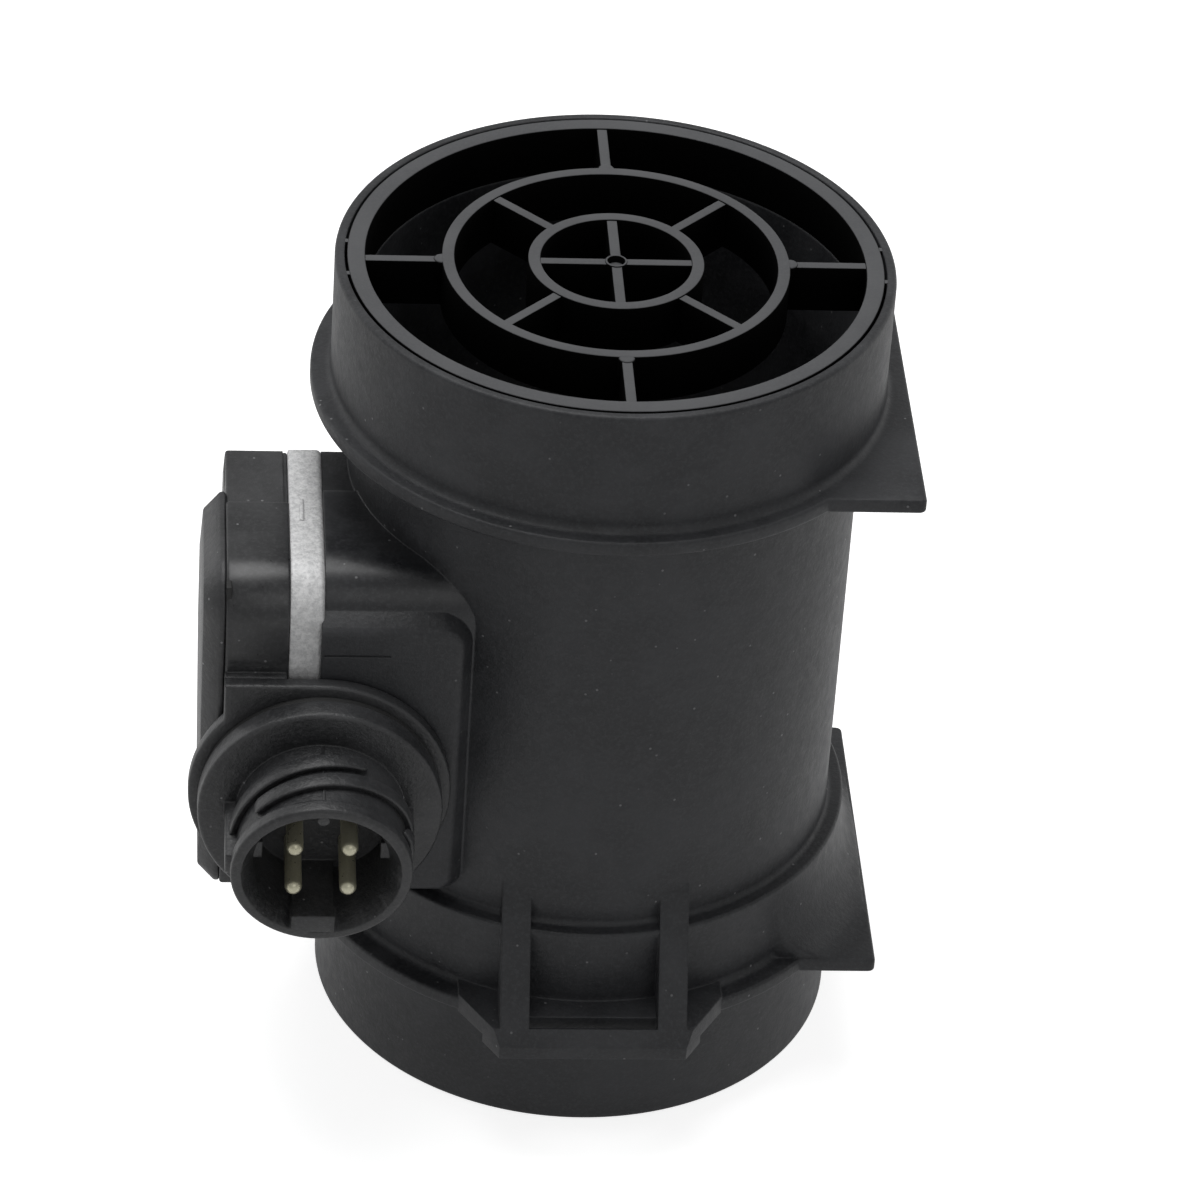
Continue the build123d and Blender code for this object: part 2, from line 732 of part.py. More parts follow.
# Contact pins with rounded tips
with BuildPart() as contact_pin:
    with BuildSketch(Plane.XY.offset(shell_floor - pin_root)):
        Circle(pin_r)
    extrude(amount=pin_root + pin_len)
    fillet(circles_at(contact_pin, shell_floor + pin_len, pin_r), pin_tip_round)
for number, spot in enumerate(pin_spots, 1):
    pin_here = shell_plane.location * Location((*spot, 0)) * contact_pin.part
    save(pin_here, f"contact_pin_{number}")

# Seal in the groove behind the front collar
with BuildPart() as connector_seal:
    with BuildSketch(front_plane(-groove_y - plug_seal_gap)):
        with Locations(connector_place):
            Circle(plug_seal_r)
            Circle(collar_core_r, mode=Mode.SUBTRACT)
    extrude(amount=collar_groove - 2 * plug_seal_gap)
save(connector_seal.part, "connector_seal")

# Lid and the seal under its rim
with BuildPart() as module_lid:
    with BuildSketch(side_plane(-housing_outer_x - lid_t)):
        add(module_outline(lid_edge_inset, extra_clip=lid_clip_inset))
    extrude(amount=lid_t)
    chamfer(module_lid.faces().sort_by(Axis.X)[0].edges(), lid_bevel)
    with BuildSketch(side_plane(-housing_outer_x - lid_pocket)):
        add(module_outline(cavity_inset, extra_clip=lid_clip_inset))
    extrude(amount=lid_pocket, mode=Mode.SUBTRACT)
save(module_lid.part, "module_lid")

with BuildPart() as lid_seal:
    seal_in = lid_edge_inset + seal_inset
    with BuildSketch(side_plane(-housing_outer_x)):
        add(module_outline(seal_in + seal_gap, extra_clip=lid_clip_inset))
        add(
            module_outline(seal_in + seal_w - seal_gap, extra_clip=lid_clip_inset),
            mode=Mode.SUBTRACT,
        )
    extrude(amount=seal_depth)
save(lid_seal.part, "lid_seal")

# Board on the plate, with a window for the arm, and the parts on it
board_top_x = plate_outer_x + board_t
with BuildPart() as circuit_board:
    with BuildSketch(side_plane(-board_top_x)):
        add(module_outline(cavity_inset + board_clear, extra_clip=lid_clip_inset))
        with Locations((0, (board_low_z + board_top_z) / 2)):
            Rectangle(4 * module_front_y, board_top_z - board_low_z, mode=Mode.INTERSECT)
        with Locations((0, arm_z)):
            Rectangle(arm_w + 2 * board_window_gap, arm_h + 2 * board_window_gap, mode=Mode.SUBTRACT)
    extrude(amount=board_t)
save(circuit_board.part, "circuit_board")

with BuildPart() as hybrid_chip:
    with BuildSketch(side_plane(-board_top_x - chip_t)):
        with Locations((-chip_y, chip_z)):
            Rectangle(chip_w, chip_w)
    extrude(amount=chip_t)
save(hybrid_chip.part, "hybrid_chip")

capacitors = []
for number in range(cap_count):
    with BuildPart() as capacitor:
        with BuildSketch(side_plane(-board_top_x - cap_t)):
            with Locations((-cap_y - number * cap_pitch, cap_z)):
                Rectangle(cap_w, cap_h)
        extrude(amount=cap_t)
    capacitors.append(capacitor.part)
    save(capacitor.part, f"capacitor_{number + 1}")

with BuildPart() as lead_frame:
    with BuildSketch(side_plane(-board_top_x - lead_t)):
        with Locations((-lead_y, connector_z)):
            Rectangle(lead_w, lead_h)
    extrude(amount=lead_t)
save(lead_frame.part, "lead_frame")

# Gel poured over the board, shaped by everything that stands in it
with BuildPart() as potting_gel:
    with BuildSketch(side_plane(-plate_outer_x - gel_t)):
        add(module_outline(cavity_inset, extra_clip=lid_clip_inset))
    extrude(amount=gel_t)
    with BuildSketch(side_plane(-arm_root_x)):
        with Locations((0, arm_z)):
            RectangleRounded(arm_hole_w, arm_hole_h, arm_corner)
    extrude(amount=arm_root_x - plate_outer_x, mode=Mode.SUBTRACT)
    for buried in (circuit_board.part, hybrid_chip.part, lead_frame.part, *capacitors):
        add(buried, mode=Mode.SUBTRACT)
save(potting_gel.part, "potting_gel")

# Screws through lug and plate into the pylon
seat_x = plate_outer_x + screw_seat
for number, (place_y, place_z) in enumerate(screw_places, 1):
    with BuildPart() as module_screw:
        with BuildSketch(side_plane(-seat_x)):
            with Locations((place_y, place_z)):
                Circle(screw_r)
        extrude(amount=screw_len)
        with BuildSketch(side_plane(-seat_x - screw_head_h)):
            with Locations((place_y, place_z)):
                Circle(screw_head_r)
        extrude(amount=screw_head_h)
        fillet(module_screw.faces().sort_by(Axis.X)[0].edges(), edge_round)
        with BuildSketch(side_plane(-seat_x - screw_head_h)):
            with Locations((place_y, place_z)):
                RegularPolygon(screw_socket_r, 6)
        extrude(amount=screw_socket_h, mode=Mode.SUBTRACT)
    save(module_screw.part, f"module_screw_{number}")
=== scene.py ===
"""Looks of a mass airflow sensor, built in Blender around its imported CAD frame.

Sizes are in millimetres, in the frame of the CAD model: +Z up the bore to the gridded inlet,
-X towards the electronics module, -Y where the plug socket points.
"""
import json
import logging
import math
from collections.abc import Callable, Sequence
from dataclasses import dataclass
from enum import Enum
from functools import cache

import bmesh
import bpy
import numpy as np
from mathutils import Matrix, Vector


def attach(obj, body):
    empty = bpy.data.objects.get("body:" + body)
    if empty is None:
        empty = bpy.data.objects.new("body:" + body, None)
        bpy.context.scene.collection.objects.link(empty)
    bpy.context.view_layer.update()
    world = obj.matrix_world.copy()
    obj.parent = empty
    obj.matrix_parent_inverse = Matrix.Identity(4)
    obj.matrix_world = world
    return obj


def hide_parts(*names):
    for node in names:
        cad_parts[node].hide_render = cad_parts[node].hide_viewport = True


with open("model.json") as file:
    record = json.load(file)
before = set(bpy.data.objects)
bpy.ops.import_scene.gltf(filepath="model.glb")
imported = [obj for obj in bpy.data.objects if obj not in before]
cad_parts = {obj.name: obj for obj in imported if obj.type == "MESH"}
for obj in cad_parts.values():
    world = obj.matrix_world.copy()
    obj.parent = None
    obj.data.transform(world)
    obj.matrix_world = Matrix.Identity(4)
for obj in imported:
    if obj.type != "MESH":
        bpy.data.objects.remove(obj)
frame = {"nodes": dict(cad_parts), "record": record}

LOG = logging.getLogger("airflow_sensor")
MM = 0.001
ROOT = "root"
DUST_COLOUR = (0.35, 0.35, 0.36)
DUST_SCALE = 420.0
CHANCE_SCALE = 190.0
CLOUD_BAND = (0.35, 0.7)
GRAIN_BAND = (0.42, 0.72)
SPECK_BAND = (0.05, 0.11)
CHANCE_BAND = (0.5, 0.6)
# Heights of the normal over which painted shade on faces that don't look up gives way to the own
# colour.
SIDE_SHADE_BAND = (0.5, 0.95)
Point = tuple[float, float]
Triple = tuple[float, float, float]
Box = tuple[Triple, Triple]
Obj = bpy.types.Object
Place = Callable[[float, float, float], Sequence[float]]


class Slot(Enum):
    """The record's material slots that pieces take their finish from."""

    DUCT = "duct_plastic"
    GRID = "grid_plastic"
    MODULE = "module_plastic"
    ALLOY = "cast_alloy"
    PIN = "pin_metal"
    MESH = "mesh_steel"
    SCREW = "screw_steel"
    SEAL = "seal_rubber"
    CERAMIC = "ceramic"
    BOARD = "board_ceramic"
    CHIP = "component_black"
    GEL = "gel"


# Nodes and shader maths


def operator(operation: str, flipped: bool = False) -> Callable[["Sock", "Sock | float"], "Sock"]:
    """Method that adds one Math node for two values, or for the two in reverse."""

    def method(self: "Sock", other: "Sock | float") -> "Sock":
        """Add the Math node."""
        pair = (other, self) if flipped else (self, other)
        return self.maker.math(operation, *pair)

    return method


class Sock:
    """A node socket that takes part in Python expressions, one Math node for each operation."""

    def __init__(self, maker: "NodeMaker", socket: bpy.types.NodeSocket) -> None:
        """Wrap a socket of the maker's tree."""
        self.maker = maker
        self.socket = socket

    __add__ = __radd__ = operator("ADD")
    __sub__ = operator("SUBTRACT")
    __rsub__ = operator("SUBTRACT", flipped=True)
    __mul__ = __rmul__ = operator("MULTIPLY")
    __truediv__ = operator("DIVIDE")
    __pow__ = operator("POWER")

    def between(self, low: float, high: float) -> "Sock":
        """0 below low, 1 above high, and a smooth rise between them."""
        return self.maker.node(
            "ShaderNodeMapRange", {"interpolation_type": "SMOOTHSTEP"}, Value=self,
            From_Min=low, From_Max=high,
        )

    def axis(self, name: str) -> "Sock":
        """One coordinate of a vector, X, Y or Z."""
        return self.maker.node("ShaderNodeSeparateXYZ", out=name, Vector=self)


class NodeMaker:
    """Adds nodes to a shader or geometry tree."""

    def __init__(self, tree: bpy.types.NodeTree) -> None:
        """Work on a tree, without the nodes it came with."""
        self.tree = tree
        tree.nodes.clear()

    def node(
        self, kind: str, settings: dict | None = None, out: str | int = 0, **inputs: object
    ) -> Sock:
        """Add a node, set it up and feed its sockets.

        Args:
            kind: The node's type name.
            settings: The node's own properties, set before its sockets are read.
            out: Name or index of the output to return.
            **inputs: Socket names, with _ for a space, and a value or a Sock or a list of them.

        Returns:
            The chosen output.
        """
        made = self.tree.nodes.new(kind)
        for key, value in (settings or {}).items():
            setattr(made, key, value)
        for key, value in inputs.items():
            self.feed(made, key.replace("_", " "), value)
        return Sock(self, made.outputs[out])

    def feed(self, made: bpy.types.Node, key: str | int, value: object) -> None:
        """Link or set one input, found by index or by name among the enabled ones."""
        if isinstance(key, int):
            target = made.inputs[key]
        else:
            target = next(s for s in made.inputs if s.name == key and s.enabled)
        for item in value if isinstance(value, list) else [value]:
            if isinstance(item, Sock):
                self.tree.links.new(item.socket, target)
            else:
                target.default_value = item

    def math(self, operation: str, *values: Sock | float) -> Sock:
        """Add a Math node whose inputs are values in order."""
        made = self.tree.nodes.new("ShaderNodeMath")
        made.operation = operation
        for index, value in enumerate(values):
            self.feed(made, index, value)
        return Sock(self, made.outputs[0])

    def vector(self, **axes: Sock | float) -> Sock:
        """Combine X, Y and Z, 0 where not given."""
        return self.node("ShaderNodeCombineXYZ", **axes)

    def mix_colour(self, factor: Sock | float, low: Sock | Triple, high: Sock | Triple) -> Sock:
        """Blend two colours by a factor."""
        made = self.tree.nodes.new("ShaderNodeMix")
        made.data_type = "RGBA"
        self.feed(made, 0, factor)
        colours = [s for s in made.inputs if s.type == "RGBA"]
        for target, value in zip(colours, (low, high)):
            if isinstance(value, Sock):
                self.tree.links.new(value.socket, target)
            else:
                target.default_value = (*value, 1.0)
        return Sock(self, next(s for s in made.outputs if s.type == "RGBA"))

    def end(self, kind: str, result: Sock) -> None:
        """Add the tree's output node and link the result to it."""
        self.tree.links.new(result.socket, self.tree.nodes.new(kind).inputs[0])


def new_material(name: str) -> tuple[bpy.types.Material, NodeMaker]:
    """A material with nodes, and the maker of its empty tree."""
    material = bpy.data.materials.new(name)
    material.use_nodes = True
    return material, NodeMaker(material.node_tree)


# Finishes


@dataclass(frozen=True)
class Finish:
    """How one material of the sensor looks.

    Attributes:
        name: Material name.
        colour: Main colour, linear.
        worn: Colour of the lighter patches, linear.
        roughness: Mean roughness.
        metallic: 1 for bare metal.
        grain: Grains per metre of the fine surface texture.
        grain_mm: Height of that texture.
        cloud: Patches per metre of the slow colour change.
        dust: How strongly pale specks show, 0 for none.
        edge_mm: Radius that the shading rounds edges by.
        specular: Specular level.
        coat: Weight of a clear coat.
        painted_side_shade: Painted shade: a dark colour for faces that don't look up, standing in for
            the shade on side walls, or None.
        polished: Low and high corner in millimetres of a zone that is smoother, or None.
        polish: Roughness in that zone.
        fade: Half the width of that zone's soft border, in millimetres.
    """

    name: str
    colour: Triple
    worn: Triple
    roughness: float
    metallic: float = 0.0
    grain: float = 2600.0
    grain_mm: float = 0.02
    cloud: float = 70.0
    dust: float = 0.0
    edge_mm: float = 0.35
    specular: float = 0.5
    coat: float = 0.0
    painted_side_shade: Triple | None = None
    polished: Box | None = None
    polish: float = 0.24
    fade: float = 0.8

    def zone(self, place: Sock) -> Sock:
        """1 inside the polished zone, with soft borders, and 0 outside."""
        inside: Sock | float = 1.0
        fade = self.fade * MM
        for axis, low, high in zip("XYZ", *self.polished):
            spot = place.axis(axis)
            inside = spot.between(low * MM - fade, low * MM + fade) * inside
            inside = inside * (1.0 - spot.between(high * MM - fade, high * MM + fade))
        return inside

    def build(self) -> bpy.types.Material:
        """Make the material with its grain, slow colour change, specks, painted shade on faces that
        don't look up when steep is set, and rounded edges.

        Returns:
            The finished material.
        """
        material, maker = new_material(self.name)
        place = maker.node("ShaderNodeTexCoord", out="Object")

        def noise(scale: float, detail: float, roughness: float = 0.5) -> Sock:
            """Noise in the object's own coordinates."""
            return maker.node(
                "ShaderNodeTexNoise", Vector=place, Scale=scale, Detail=detail, Roughness=roughness
            )

        cloud = noise(self.cloud, 4.0, 0.6)
        grain = noise(self.grain, 3.0, 0.7)
        pits = noise(self.grain * 0.37, 2.0)
        colour = maker.mix_colour(cloud.between(*CLOUD_BAND) * 0.7, self.colour, self.worn)
        colour = maker.mix_colour(grain.between(*GRAIN_BAND) * 0.6, colour, self.worn)
        if self.dust > 0.0:
            speck = maker.node("ShaderNodeTexVoronoi", Vector=place, Scale=DUST_SCALE)
            chance = noise(CHANCE_SCALE, 1.0).between(*CHANCE_BAND)
            mask = (1.0 - speck.between(*SPECK_BAND)) * chance
            colour = maker.mix_colour(mask * self.dust, colour, DUST_COLOUR)
        # Painted shade: faces that don't look up are blended towards a dark colour that stands in for
        # the shade they lie in.
        if self.painted_side_shade is not None:
            upward = maker.node("ShaderNodeNewGeometry", out="Normal").axis("Z")
            colour = maker.mix_colour(upward.between(*SIDE_SHADE_BAND), self.painted_side_shade, colour)
        rough = self.roughness + (cloud - 0.5) * 0.16 + (pits - 0.5) * 0.2
        relief = grain * 0.6 + pits * 0.4
        if self.polished is not None:
            zone = self.zone(place)
            rough = rough + zone * (self.polish - self.roughness)
            relief = relief * (1.0 - zone * 0.85)
        bump = maker.node(
            "ShaderNodeBump", Height=relief, Strength=1.0, Distance=self.grain_mm * MM
        )
        if self.edge_mm > 0.0:
            corner = maker.node("ShaderNodeBevel", {"samples": 6}, Radius=self.edge_mm * MM)
            maker.feed(bump.socket.node, "Normal", corner)
        shader = maker.node(
            "ShaderNodeBsdfPrincipled", Base_Color=colour, Roughness=rough, Metallic=self.metallic,
            Specular_IOR_Level=self.specular, Coat_Weight=self.coat, Normal=bump,
        )
        maker.end("ShaderNodeOutputMaterial", shader)
        return material


FINISHES: dict[Slot, Finish] = {
    Slot.DUCT: Finish(
        "duct_moulding", (0.0165, 0.0173, 0.0195), (0.054, 0.0555, 0.060), 0.5, dust=0.6,
        grain=1500.0, grain_mm=0.12, specular=0.4, polish=0.32,
        polished=((-46.0, -34.0, 84.0), (-20.0, -4.0, 100.0)), fade=2.5,
    ),
    Slot.GRID: Finish(
        "grid_moulding", (0.125, 0.127, 0.132), (0.155, 0.157, 0.162), 0.6, grain_mm=0.012,
        # Painted shade: the grid's side walls, down in its cells, are coloured near black.
        edge_mm=0.1, specular=0.04, painted_side_shade=(0.0015, 0.0015, 0.0015),
    ),
    Slot.MODULE: Finish(
        "module_moulding", (0.018, 0.0186, 0.020), (0.062, 0.063, 0.066), 0.42, dust=0.7,
        grain=1400.0, grain_mm=0.18, edge_mm=0.4, specular=0.46, polish=0.33,
        polished=((-57.9, -36.0, 83.5), (-48.0, -13.0, 100.0)),
    ),
    Slot.ALLOY: Finish(
        "blasted_alloy", (0.62, 0.625, 0.63), (1.0, 1.0, 1.0), 0.6, 0.3, grain=2600.0,
        grain_mm=0.14, cloud=1100.0, edge_mm=0.4,
    ),
    Slot.PIN: Finish(
        "plated_pin", (0.58, 0.55, 0.40), (0.72, 0.70, 0.54), 0.32, 0.5, grain_mm=0.002,
        edge_mm=0.0,
    ),
    Slot.MESH: Finish(
        "drawn_wire", (0.42, 0.42, 0.43), (0.55, 0.55, 0.56), 0.34, 1.0, grain_mm=0.004,
        edge_mm=0.05,
    ),
    Slot.SCREW: Finish(
        "zinc_screw", (0.40, 0.40, 0.40), (0.52, 0.52, 0.50), 0.34, 1.0, grain_mm=0.006,
        edge_mm=0.15,
    ),
    Slot.SEAL: Finish("seal_rubber", (0.012, 0.012, 0.012), (0.02, 0.02, 0.02), 0.66),
    Slot.CERAMIC: Finish(
        "fired_ceramic", (0.70, 0.68, 0.62), (0.78, 0.76, 0.70), 0.34, grain_mm=0.006
    ),
    Slot.BOARD: Finish(
        "board_coating", (0.02, 0.09, 0.05), (0.03, 0.12, 0.07), 0.30, grain_mm=0.006, coat=0.4
    ),
    Slot.CHIP: Finish("chip_moulding", (0.02, 0.02, 0.02), (0.03, 0.03, 0.03), 0.5),
    Slot.GEL: Finish("soft_gel", (0.36, 0.37, 0.36), (0.42, 0.43, 0.42), 0.18, coat=0.6),
}


@cache
def material_of(slot: Slot) -> bpy.types.Material:
    """The slot's material, built once."""
    return FINISHES[slot].build()


# Mesh making


def rounded(corners: Sequence[Triple], steps: int = 5) -> list[Point]:
    """Round the corners of a closed outline.

    Args:
        corners: Each corner as (a, b, radius).
        steps: Segments in each arc.

    Returns:
        The outline's points.
    """
    points: list[Point] = []
    for index, (a, b, radius) in enumerate(corners):
        corner = np.array((a, b))
        if radius <= 0:
            points.append((a, b))
            continue
        to_last = np.array(corners[index - 1][:2]) - corner
        to_next = np.array(corners[(index + 1) % len(corners)][:2]) - corner
        to_last = to_last / np.linalg.norm(to_last)
        to_next = to_next / np.linalg.norm(to_next)
        half = math.acos(float(np.clip(to_last @ to_next, -1, 1))) / 2
        middle = to_last + to_next
        centre = corner + middle / np.linalg.norm(middle) * radius / math.sin(half)
        start = corner + to_last * radius / math.tan(half) - centre
        finish = corner + to_next * radius / math.tan(half) - centre
        sweep = math.pi - 2 * half
        for step in range(steps + 1):
            share = step / steps
            arm = (
                start * math.sin((1 - share) * sweep) + finish * math.sin(share * sweep)
            ) / math.sin(sweep)
            points.append(tuple(centre + arm))
    return points


def linked(name: str, data: bpy.types.ID) -> Obj:
    """A new object in the scene."""
    made = bpy.data.objects.new(name, data)
    bpy.context.scene.collection.objects.link(made)
    return made


def new_object(name: str, verts: Sequence[Sequence[float]], faces: Sequence[Sequence[int]]) -> Obj:
    """Make a mesh object from points in millimetres.

    Args:
        name: Object name.
        verts: Points, one row each.
        faces: Point numbers of each face.

    Returns:
        The object, linked to the scene, with its normals facing outwards.
    """
    mesh = bpy.data.meshes.new(name)
    mesh.from_pydata((np.asarray(verts, float) * MM).tolist(), [], [list(f) for f in faces])
    work = bmesh.new()
    work.from_mesh(mesh)
    bmesh.ops.remove_doubles(work, verts=work.verts, dist=1e-6)
    bmesh.ops.recalc_face_normals(work, faces=work.faces)
    work.to_mesh(mesh)
    work.free()
    return linked(name, mesh)


def loops_object(name: str, loops: Sequence[np.ndarray], ring: bool = False) -> Obj:
    """Skin a row of closed loops that have the same number of points.

    Args:
        name: Object name.
        loops: Each loop's points in millimetres.
        ring: Whether the last loop joins the first, as on a turned ring. If not, a face closes
            each end.

    Returns:
        The object.
    """
    count, rows = len(loops[0]), len(loops)
    faces: list[list[int]] = []
    for row in range(rows if ring else rows - 1):
        low, high = row * count, ((row + 1) % rows) * count
        for k in range(count):
            after = (k + 1) % count
            faces.append([low + k, low + after, high + after, high + k])
    if not ring:
        faces.append(list(range(count))[::-1])
        faces.append([(rows - 1) * count + k for k in range(count)])
    return new_object(name, np.concatenate(loops), faces)


def turned(
    name: str, profile: Sequence[Point], place: Place, turns: Sequence[float] | int,
    closed: bool = True,
) -> Obj:
    """Turn a profile about an axis.

    Args:
        name: Object name.
        profile: Points (radius, distance along the axis).
        place: Gives the point for (radius, distance, angle).
        turns: Angles in radians, or how many equal ones.
        closed: Whether the profile closes on itself.

    Returns:
        The object.
    """
    if isinstance(turns, int):
        turns = [2 * math.pi * k / turns for k in range(turns)]
    loops = [np.array([place(r, d, a) for a in turns]) for r, d in profile]
    return loops_object(name, loops, ring=closed)


def plain(obj: Obj) -> Obj:
    """Turn an object's evaluated modifiers into its own mesh, and drop them."""
    graph = bpy.context.evaluated_depsgraph_get()
    graph.update()
    mesh = bpy.data.meshes.new_from_object(obj.evaluated_get(graph))
    obj.modifiers.clear()
    obj.data = mesh
    return obj


class Join(Enum):
    """How a second solid changes the first."""

    ADD = "UNION"
    CUT = "DIFFERENCE"
    KEEP = "INTERSECT"


def combine(obj: Obj, other: Obj, how: Join) -> Obj:
    """Join, cut or intersect two solids, and remove the second."""
    modifier = obj.modifiers.new("combine", "BOOLEAN")
    modifier.operation = how.value
    modifier.solver = "EXACT"
    modifier.object = other
    plain(obj)
    bpy.data.objects.remove(other)
    return obj


def soften(obj: Obj, width: float, segments: int = 3, angle: float = 28.0) -> Obj:
    """Round an object's edges sharper than an angle, by a width in millimetres."""
    modifier = obj.modifiers.new("soften", "BEVEL")
    modifier.width = width * MM
    modifier.segments = segments
    modifier.limit_method = "ANGLE"
    modifier.angle_limit = math.radians(angle)
    modifier.use_clamp_overlap = True
    return plain(obj)


def smooth(obj: Obj, angle: float = 32.0) -> None:
    """Shade an object smooth, with edges sharper than an angle kept crisp."""
    mesh = obj.data
    mesh.polygons.foreach_set("use_smooth", [True] * len(mesh.polygons))
    mesh.set_sharp_from_angle(angle=math.radians(angle))


def block(name: str, low: Sequence[float], high: Sequence[float]) -> Obj:
    """A plain box between two corners, used to cut others or to be rounded."""
    corners = [(x, y, z) for x in (low[0], high[0]) for y in (low[1], high[1])
               for z in (low[2], high[2])]
    faces = [(0, 1, 3, 2), (4, 6, 7, 5), (0, 4, 5, 1), (2, 3, 7, 6), (0, 2, 6, 4), (1, 5, 7, 3)]
    return new_object(name, corners, faces)


def with_block(
    obj: Obj, low: Sequence[float], high: Sequence[float], how: Join = Join.CUT,
    softness: float = 0.0, segments: int = 3,
) -> Obj:
    """Cut a box out of a solid, or add it.

    Args:
        obj: The solid.
        low: The box's low corner.
        high: Its high corner.
        how: How it changes the solid.
        softness: Width that rounds its edges first.
        segments: Segments of that rounding.

    Returns:
        The same object.
    """
    box = block("box", low, high)
    if softness > 0:
        soften(box, softness, segments)
    return combine(obj, box, how)


def prism(name: str, outline: Sequence[Point], low: float, high: float, place: Place) -> Obj:
    """Extrude an outline between two depths, each point set in space by place."""
    loops = [np.array([place(a, b, depth) for a, b in outline]) for depth in (low, high)]
    return loops_object(name, loops)


def across_x(a: float, b: float, depth: float) -> Triple:
    """Place an outline drawn in (y, z) at a depth along X."""
    return (depth, a, b)


def across_z(a: float, b: float, depth: float) -> Triple:
    """Place an outline drawn in (x, y) at a height."""
    return (a, b, depth)


def about(axis: str, a: float = 0.0, b: float = 0.0) -> Place:
    """Give the rule that places turned points about an axis.

    Args:
        axis: X, Y or Z. Distances run along +Z, but along -X and -Y, out of the duct's side.
        a: Where the axis crosses the first of the other two coordinates.
        b: Where it crosses the second.

    Returns:
        The rule for (radius, distance, angle).
    """

    def place(radius: float, distance: float, angle: float) -> Triple:
        """One point's place."""
        first, second = a + radius * math.cos(angle), b + radius * math.sin(angle)
        return {
            "X": (-distance, first, second), "Y": (first, -distance, second),
            "Z": (first, second, distance),
        }[axis]

    return place


def merge(name: str, parts: Sequence[Obj]) -> Obj:
    """Put several meshes into one object without joining their surfaces."""
    work = bmesh.new()
    for part in parts:
        work.from_mesh(part.data)
    mesh = bpy.data.meshes.new(name)
    work.to_mesh(mesh)
    work.free()
    for part in parts:
        bpy.data.objects.remove(part)
    return linked(name, mesh)


def finish_piece(obj: Obj, slot: Slot, *nodes: str, angle: float = 32.0) -> Obj:
    """Dress a piece, let it ride on the body and say which nodes it stands for.

    Args:
        obj: The piece.
        slot: The record's slot it takes its finish from.
        *nodes: CAD nodes that it replaces.
        angle: Edges sharper than this stay crisp in the shading.

    Returns:
        The piece.
    """
    smooth(obj, angle)
    obj.data.materials.clear()
    obj.data.materials.append(material_of(slot))
    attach(obj, ROOT)
    if nodes:
        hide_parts(*nodes)
    LOG.info("%s: %d faces, stands for %s", obj.name, len(obj.data.polygons), ", ".join(nodes))
    return obj


# Geometry Nodes trees


class TreeMaker(NodeMaker):
    """Builds one geometry tree with named inputs, and runs it on objects."""

    def __init__(self, name: str, **inputs: type) -> None:
        """Open a tree.

        Args:
            name: The tree's name.
            **inputs: Name of each input, with _ for a space, and int, float or Vector.
        """
        tree = bpy.data.node_groups.new(name, "GeometryNodeTree")
        super().__init__(tree)
        kinds = {int: "NodeSocketInt", float: "NodeSocketFloat", Vector: "NodeSocketVector"}
        tree.interface.new_socket("Geometry", in_out="INPUT", socket_type="NodeSocketGeometry")
        tree.interface.new_socket("Geometry", in_out="OUTPUT", socket_type="NodeSocketGeometry")
        for key, kind in inputs.items():
            tree.interface.new_socket(
                key.replace("_", " "), in_out="INPUT", socket_type=kinds[kind]
            )
        tree.interface.new_socket("Finish", in_out="INPUT", socket_type="NodeSocketMaterial")
        self.entry = tree.nodes.new("NodeGroupInput")

    def given(self, name: str) -> Sock:
        """One of the tree's inputs."""
        return Sock(self, self.entry.outputs[name])

    def geo(self, kind: str, settings: dict | None = None, **inputs: object) -> Sock:
        """Add a geometry node, named without its prefix."""
        return self.node(f"GeometryNode{kind}", settings, **inputs)

    def close(self, geometry: Sock) -> None:
        """End the tree in real geometry with its finish on it."""
        real = self.geo("RealizeInstances", Geometry=geometry)
        self.end(
            "NodeGroupOutput",
            self.geo("SetMaterial", Geometry=real, Material=self.given("Finish")),
        )

    def run(self, obj: Obj, slot: Slot, **values: object) -> Obj:
        """Run the tree on an object and keep the result as its plain mesh.

        Args:
            obj: The object whose mesh the tree starts from.
            slot: Slot whose finish the tree sets.
            **values: Input names, with _ for a space, and their values.

        Returns:
            The same object.
        """
        modifier = obj.modifiers.new("rule", "NODES")
        modifier.node_group = self.tree
        wanted = {key.replace("_", " "): value for key, value in values.items()}
        wanted["Finish"] = material_of(slot)
        for item in self.tree.interface.items_tree:
            if item.in_out == "INPUT" and item.name in wanted:
                modifier[item.identifier] = wanted[item.name]
        return plain(obj)


def empty_object(name: str) -> Obj:
    """An object with an empty mesh, for a tree to fill."""
    return linked(name, bpy.data.meshes.new(name))


def turned_copies_tree() -> TreeMaker:
    """Tree that repeats what it is given round the vertical axis."""
    maker = TreeMaker("turned_copies", Count=int, Start_Angle=float)
    count = maker.given("Count")
    angle = maker.geo("InputIndex") * maker.math("DIVIDE", math.tau, count)
    maker.close(maker.geo(
        "InstanceOnPoints", Points=maker.geo("Points", Count=count),
        Instance=maker.given("Geometry"), Rotation=maker.vector(Z=angle + maker.given("Start Angle")),
    ))
    return maker


def stepped_copies_tree() -> TreeMaker:
    """Tree that repeats what it is given by equal steps."""
    maker = TreeMaker("stepped_copies", Count=int, Step=Vector)
    row = maker.geo("MeshLine", Count=maker.given("Count"), Offset=maker.given("Step"))
    maker.close(maker.geo("InstanceOnPoints", Points=row, Instance=maker.given("Geometry")))
    return maker


